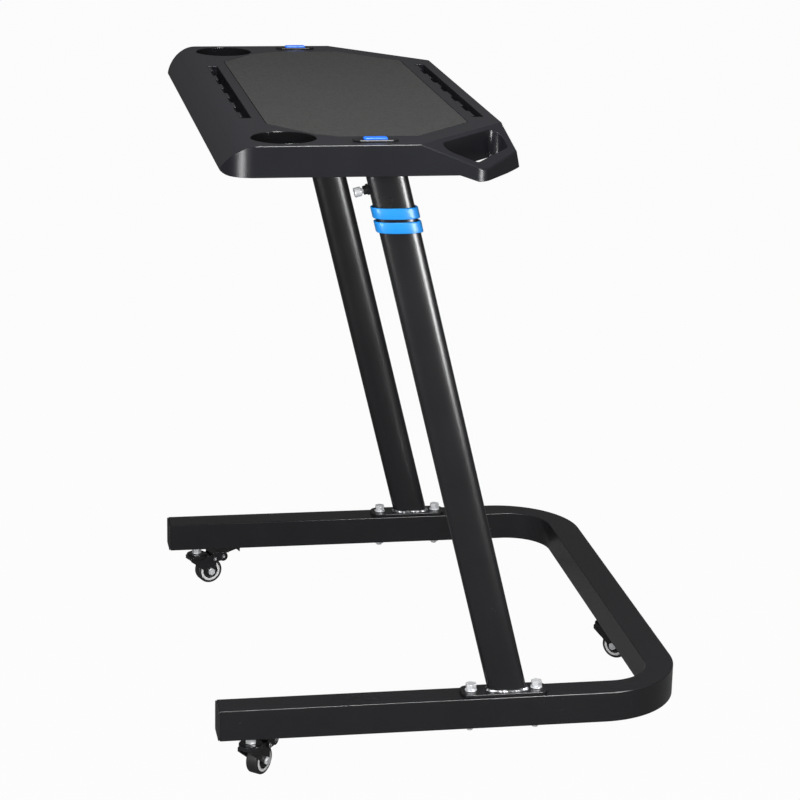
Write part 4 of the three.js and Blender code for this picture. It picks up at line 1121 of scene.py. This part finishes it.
# %% Inner parts of the top
well_radius, well_depth, well_wall, well_lip = 40.5 * mm, 33 * mm, 3 * mm, 1 * mm
well_x, well_y = 82 * mm, half_desk - 55 * mm
bolt_inset = (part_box("desk_bolt_near")[0].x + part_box("desk_bolt_near")[1].x) / 2 - desk_edge_x
rib_width_shares = (-0.55, -0.28, 0, 0.28, 0.55)
rib_depth_shares = (0.36, 0.68, 0.84)
rib_thick, rib_depth = 2.4 * mm, 9 * mm
boss_half = (58 * mm, 17 * mm)
boss_depth = 6 * mm
mat_thick, mat_groove = 1.2 * mm, 0.9 * mm
well_floor_edge = 3 * mm
well_steps = 160
bolt_head_hole, bolt_head_depth, bolt_hole = 6.85 * mm, 4.2 * mm, 4.35 * mm
fill_overlap = 0.5 * mm


def well_cup(name, y):
    """A cup well with a rounded floor edge and a rounded lip, down to its outer wall."""
    floor = [
        (well_radius - well_floor_edge * (1 - s), -well_depth + well_floor_edge * c)
        for s, c in quarter(6)
    ]
    lip = [(well_radius + well_lip * c, -well_lip * (1 - s)) for s, c in quarter(6)]
    outer, under = well_radius + well_wall, -well_depth - well_wall
    walls = [(well_radius + well_lip, -desk_top), (outer, -desk_top), (outer, under)]
    piece = lathe(name, [(0, -well_depth), *floor, *lip, *walls, (0, under)], well_steps)
    return turn_to(piece, Matrix.Translation((well_x, y, 0)))


def mat_outline(grow):
    """The mat's outline, which passes the cup wells with a slant."""
    corners = both_halves([
        (73 * mm, -250 * mm, 6 * mm), (121 * mm, -320 * mm, 12 * mm), (152 * mm, -341 * mm, 6 * mm),
        (253 * mm, -341 * mm, 6 * mm), (332.6 * mm, -251 * mm, 6 * mm),
    ])
    return rounded(corners, -grow, 8)


def fill_of_shell(form):
    """Ribs, bosses and troughs, trimmed to lie inside the walls."""
    low, high = -desk_top - rib_depth, -desk_top / 2
    fill = block((0, -half_desk, -desk_top - fill_overlap), (desk_depth, half_desk, high))
    parts = []
    for share in rib_width_shares:
        y = share * half_desk
        parts.append(((0, y - rib_thick / 2, low), (desk_depth, y + rib_thick / 2, high)))
    for share in rib_depth_shares:
        x = share * desk_depth
        parts.append(((x - rib_thick / 2, -half_desk, low), (x + rib_thick / 2, half_desk, high)))
    for sign in (-1, 1):
        y = sign * rail_middle_y
        parts.append((
            (bolt_inset - boss_half[0], y - boss_half[1], -desk_top - boss_depth),
            (bolt_inset + boss_half[0], y + boss_half[1], high),
        ))
    for inset, length in slots:
        reach = length / 2 + slot_wall
        parts.append((
            (inset - slot_notch - slot_wall, -reach, -slot_depth - slot_wall),
            (inset + slot_width + slot_wall, reach, high),
        ))
    for corners in parts:
        combine(fill, block(*corners), "UNION")
    limits = prism("limits", rounded(desk_corners, desk_wall / 2), -handle_depth, high)
    combine(fill, limits, "INTERSECT")
    whole = form.copy()
    whole.data = form.data.copy()
    bpy.context.scene.collection.objects.link(whole)
    combine(fill, whole, "INTERSECT")
    combine(fill, nose_cutter(desk_wall / 2))
    for sign in (-1, 1):
        y = sign * rail_middle_y
        room = block(
            (bolt_inset - boss_half[0] - overrun, y - boss_half[1] - overrun, -handle_depth),
            (
                bolt_inset + boss_half[0] + overrun, y + boss_half[1] + overrun,
                -desk_top - boss_depth,
            ),
        )
        combine(fill, room)
    return fill


# %% Build the top


def desk_shell():
    """The whole top before its edges are rounded."""
    shell = combine(desk_form(), nose_cutter(0))
    fill = fill_of_shell(shell)
    combine(shell, under_cut())
    combine(shell, desk_hollow())
    combine(shell, fill, "UNION")
    for sign in (-1, 1):
        well = (well_radius + well_lip, -handle_depth, overrun, well_x, sign * well_y, well_steps)
        combine(shell, upright(*well))
        y = sign * rail_middle_y
        combine(shell, upright(bolt_head_hole, -bolt_head_depth, overrun, bolt_inset, y))
        combine(shell, upright(bolt_hole, -handle_depth, overrun, bolt_inset, y))
        combine(shell, grip_hole(sign))
    for inset, length in slots:
        combine(shell, prism("slot", slot_outline(inset, length), -slot_depth, overrun))
        low = (inset - slot_notch, -length / 2, -slot_depth)
        combine(shell, block(low, (inset + slot_width, length / 2, -slot_lip)))
    combine(shell, prism("recess", mat_outline(mat_groove), -mat_thick - seat_gap, overrun))
    return shell


down_limit = -0.9


def tidy_mesh(piece, angle=0.4):
    """Merges doubled points and flat faces that the cuts left. Faces that look down are split
    until none is hollow, because the rim's long face runs round the whole top."""
    work = bmesh.new()
    work.from_mesh(piece.data)
    bmesh.ops.remove_doubles(work, verts=work.verts, dist=0.02 * mm)
    bmesh.ops.dissolve_limit(
        work, angle_limit=math.radians(angle), verts=work.verts, edges=work.edges
    )
    looking_down = [face for face in work.faces if face.normal.z < down_limit]
    bmesh.ops.connect_verts_concave(work, faces=looking_down)
    work.to_mesh(piece.data)
    work.free()
    return piece


to_desk = Matrix.Translation((desk_edge_x, 0, desk_top_z))
shell = turn_to(tidy_mesh(desk_shell()), to_desk)
show(soften(shell, 0.6, 18, 3), "desk", "desk_plastic", "desk_shell")
mat = turn_to(prism("pressed_mat", mat_outline(0), -mat_thick, 0), to_desk)
show(soften(mat, 0.35, 25, 3), "desk", "mat_rubber", "desk_mat")
for side, sign in sides:
    cup = turn_to(well_cup(f"cup_well_{side}", sign * well_y), to_desk)
    # The cups take the glossy finish whose darker tone is painted shade.
    show(soften(cup, 0.3, 40), "desk", "desk_plastic", finish="well_gloss_and_shade")
print("shell has", len(shell.data.polygons), "faces before its edges are rounded")

# %% [markdown]
# ## Floor and light
# The studio is a white floor that runs out of sight. It and the world are white to the camera,
# and dimmer in reflections and as light, so black paint stays black. Two soft boxes, above and
# in front, give the plain light and draw no highlights. Four smaller ones give highlights only:
# a line on the desk's edge, one on the near rail, and a streak down each side of the near post.

# %% Floor and world
floor_half, floor_tone = 30, 0.15
floor_glow, floor_glossy = 0.97, 0.06
world_light, world_glossy = 0.3, 0.11


def seen_share(tree, glossy):
    """One for rays from the camera and through glass, and a share for reflections."""
    rays = add_node(tree, "ShaderNodeLightPath").outputs
    reflected = math_node(tree, "MULTIPLY", rays["Is Glossy Ray"], glossy)
    direct = math_node(tree, "MAXIMUM", rays["Is Camera Ray"], rays["Is Transmission Ray"])
    return math_node(tree, "MAXIMUM", direct, reflected)


def make_floor():
    """A matt floor that glows for the camera, so that it is white but keeps a shadow."""
    material, tree = new_material("floor")
    matt = add_node(tree, "ShaderNodeBsdfPrincipled", {
        "Base Color": (floor_tone, floor_tone, floor_tone, 1), "Roughness": 0.9,
        "Specular IOR Level": 0,
    })
    glow = add_node(tree, "ShaderNodeEmission", {"Color": (1, 1, 1, 1), "Strength": 1})
    share = math_node(tree, "MULTIPLY", seen_share(tree, floor_glossy), floor_glow)
    mix = {0: share, 1: matt.outputs["BSDF"], 2: glow.outputs["Emission"]}
    surface = add_node(tree, "ShaderNodeMixShader", mix).outputs["Shader"]
    add_node(tree, "ShaderNodeOutputMaterial", {"Surface": surface})
    places = [(x * floor_half, y * floor_half, 0) for x, y in ((-1, -1), (1, -1), (1, 1), (-1, 1))]
    floor = new_piece("floor", [places], [(0, 1, 2, 3)])
    floor.data.materials.append(material)


def make_world():
    """White to the camera and through glass, dimmer in reflections and as light."""
    world = bpy.data.worlds.new("studio")
    bpy.context.scene.world = world
    world.use_nodes = True
    tree = world.node_tree
    tree.nodes.clear()
    rays = add_node(tree, "ShaderNodeLightPath").outputs
    lit = math_node(tree, "MULTIPLY", rays["Is Diffuse Ray"], world_light)
    strength = math_node(tree, "MAXIMUM", seen_share(tree, world_glossy), lit)
    background = add_node(tree, "ShaderNodeBackground", {"Color": (1, 1, 1, 1), "Strength": strength})
    add_node(tree, "ShaderNodeOutputWorld", {"Surface": background.outputs["Background"]})


make_floor()
make_world()


def soft_box(name, place, target, size, power, lights):
    """A soft box that gives only highlights or only plain light."""
    light = bpy.data.lights.new(name, "AREA")
    light.shape, light.size, light.size_y, light.energy = "RECTANGLE", size[0], size[1], power
    lamp = bpy.data.objects.new(name, light)
    lamp.visible_camera = False
    lamp.visible_diffuse = lights != "highlights"
    lamp.visible_glossy = lights != "plain"
    bpy.context.scene.collection.objects.link(lamp)
    ahead = (Vector(target) - Vector(place)).normalized()
    aim = ahead.to_track_quat("-Z", "Y").to_matrix().to_4x4()
    lamp.matrix_world = Matrix.Translation(place) @ aim


soft_box("top_box", (-0.1, -0.4, 1.95), (0, -0.1, 0.85), (1.6, 1.4), 28, "plain")
soft_box("front_box", (-1.2, -3.2, 1.5), (0, 0, 0.4), (2.0, 2.0), 98, "plain")
soft_box("desk_line", (0.18, -0.9, 2.9), (0, -0.37, 0.85), (0.6, 0.6), 90, "highlights")
soft_box("rail_line", (0.39, -0.85, 0.75), (0.39, -0.85, 0), (0.44, 0.3), 25, "highlights")
soft_box("right_box", (0.97, -1.46, 0.70), (-0.05, -0.37, 0.70), (0.22, 0.7), 28, "highlights")
soft_box("left_box", (-1.26, -1.42, 0.54), (-0.2, -0.39, 0.54), (0.5, 0.56), 21, "highlights")
print("six soft boxes")
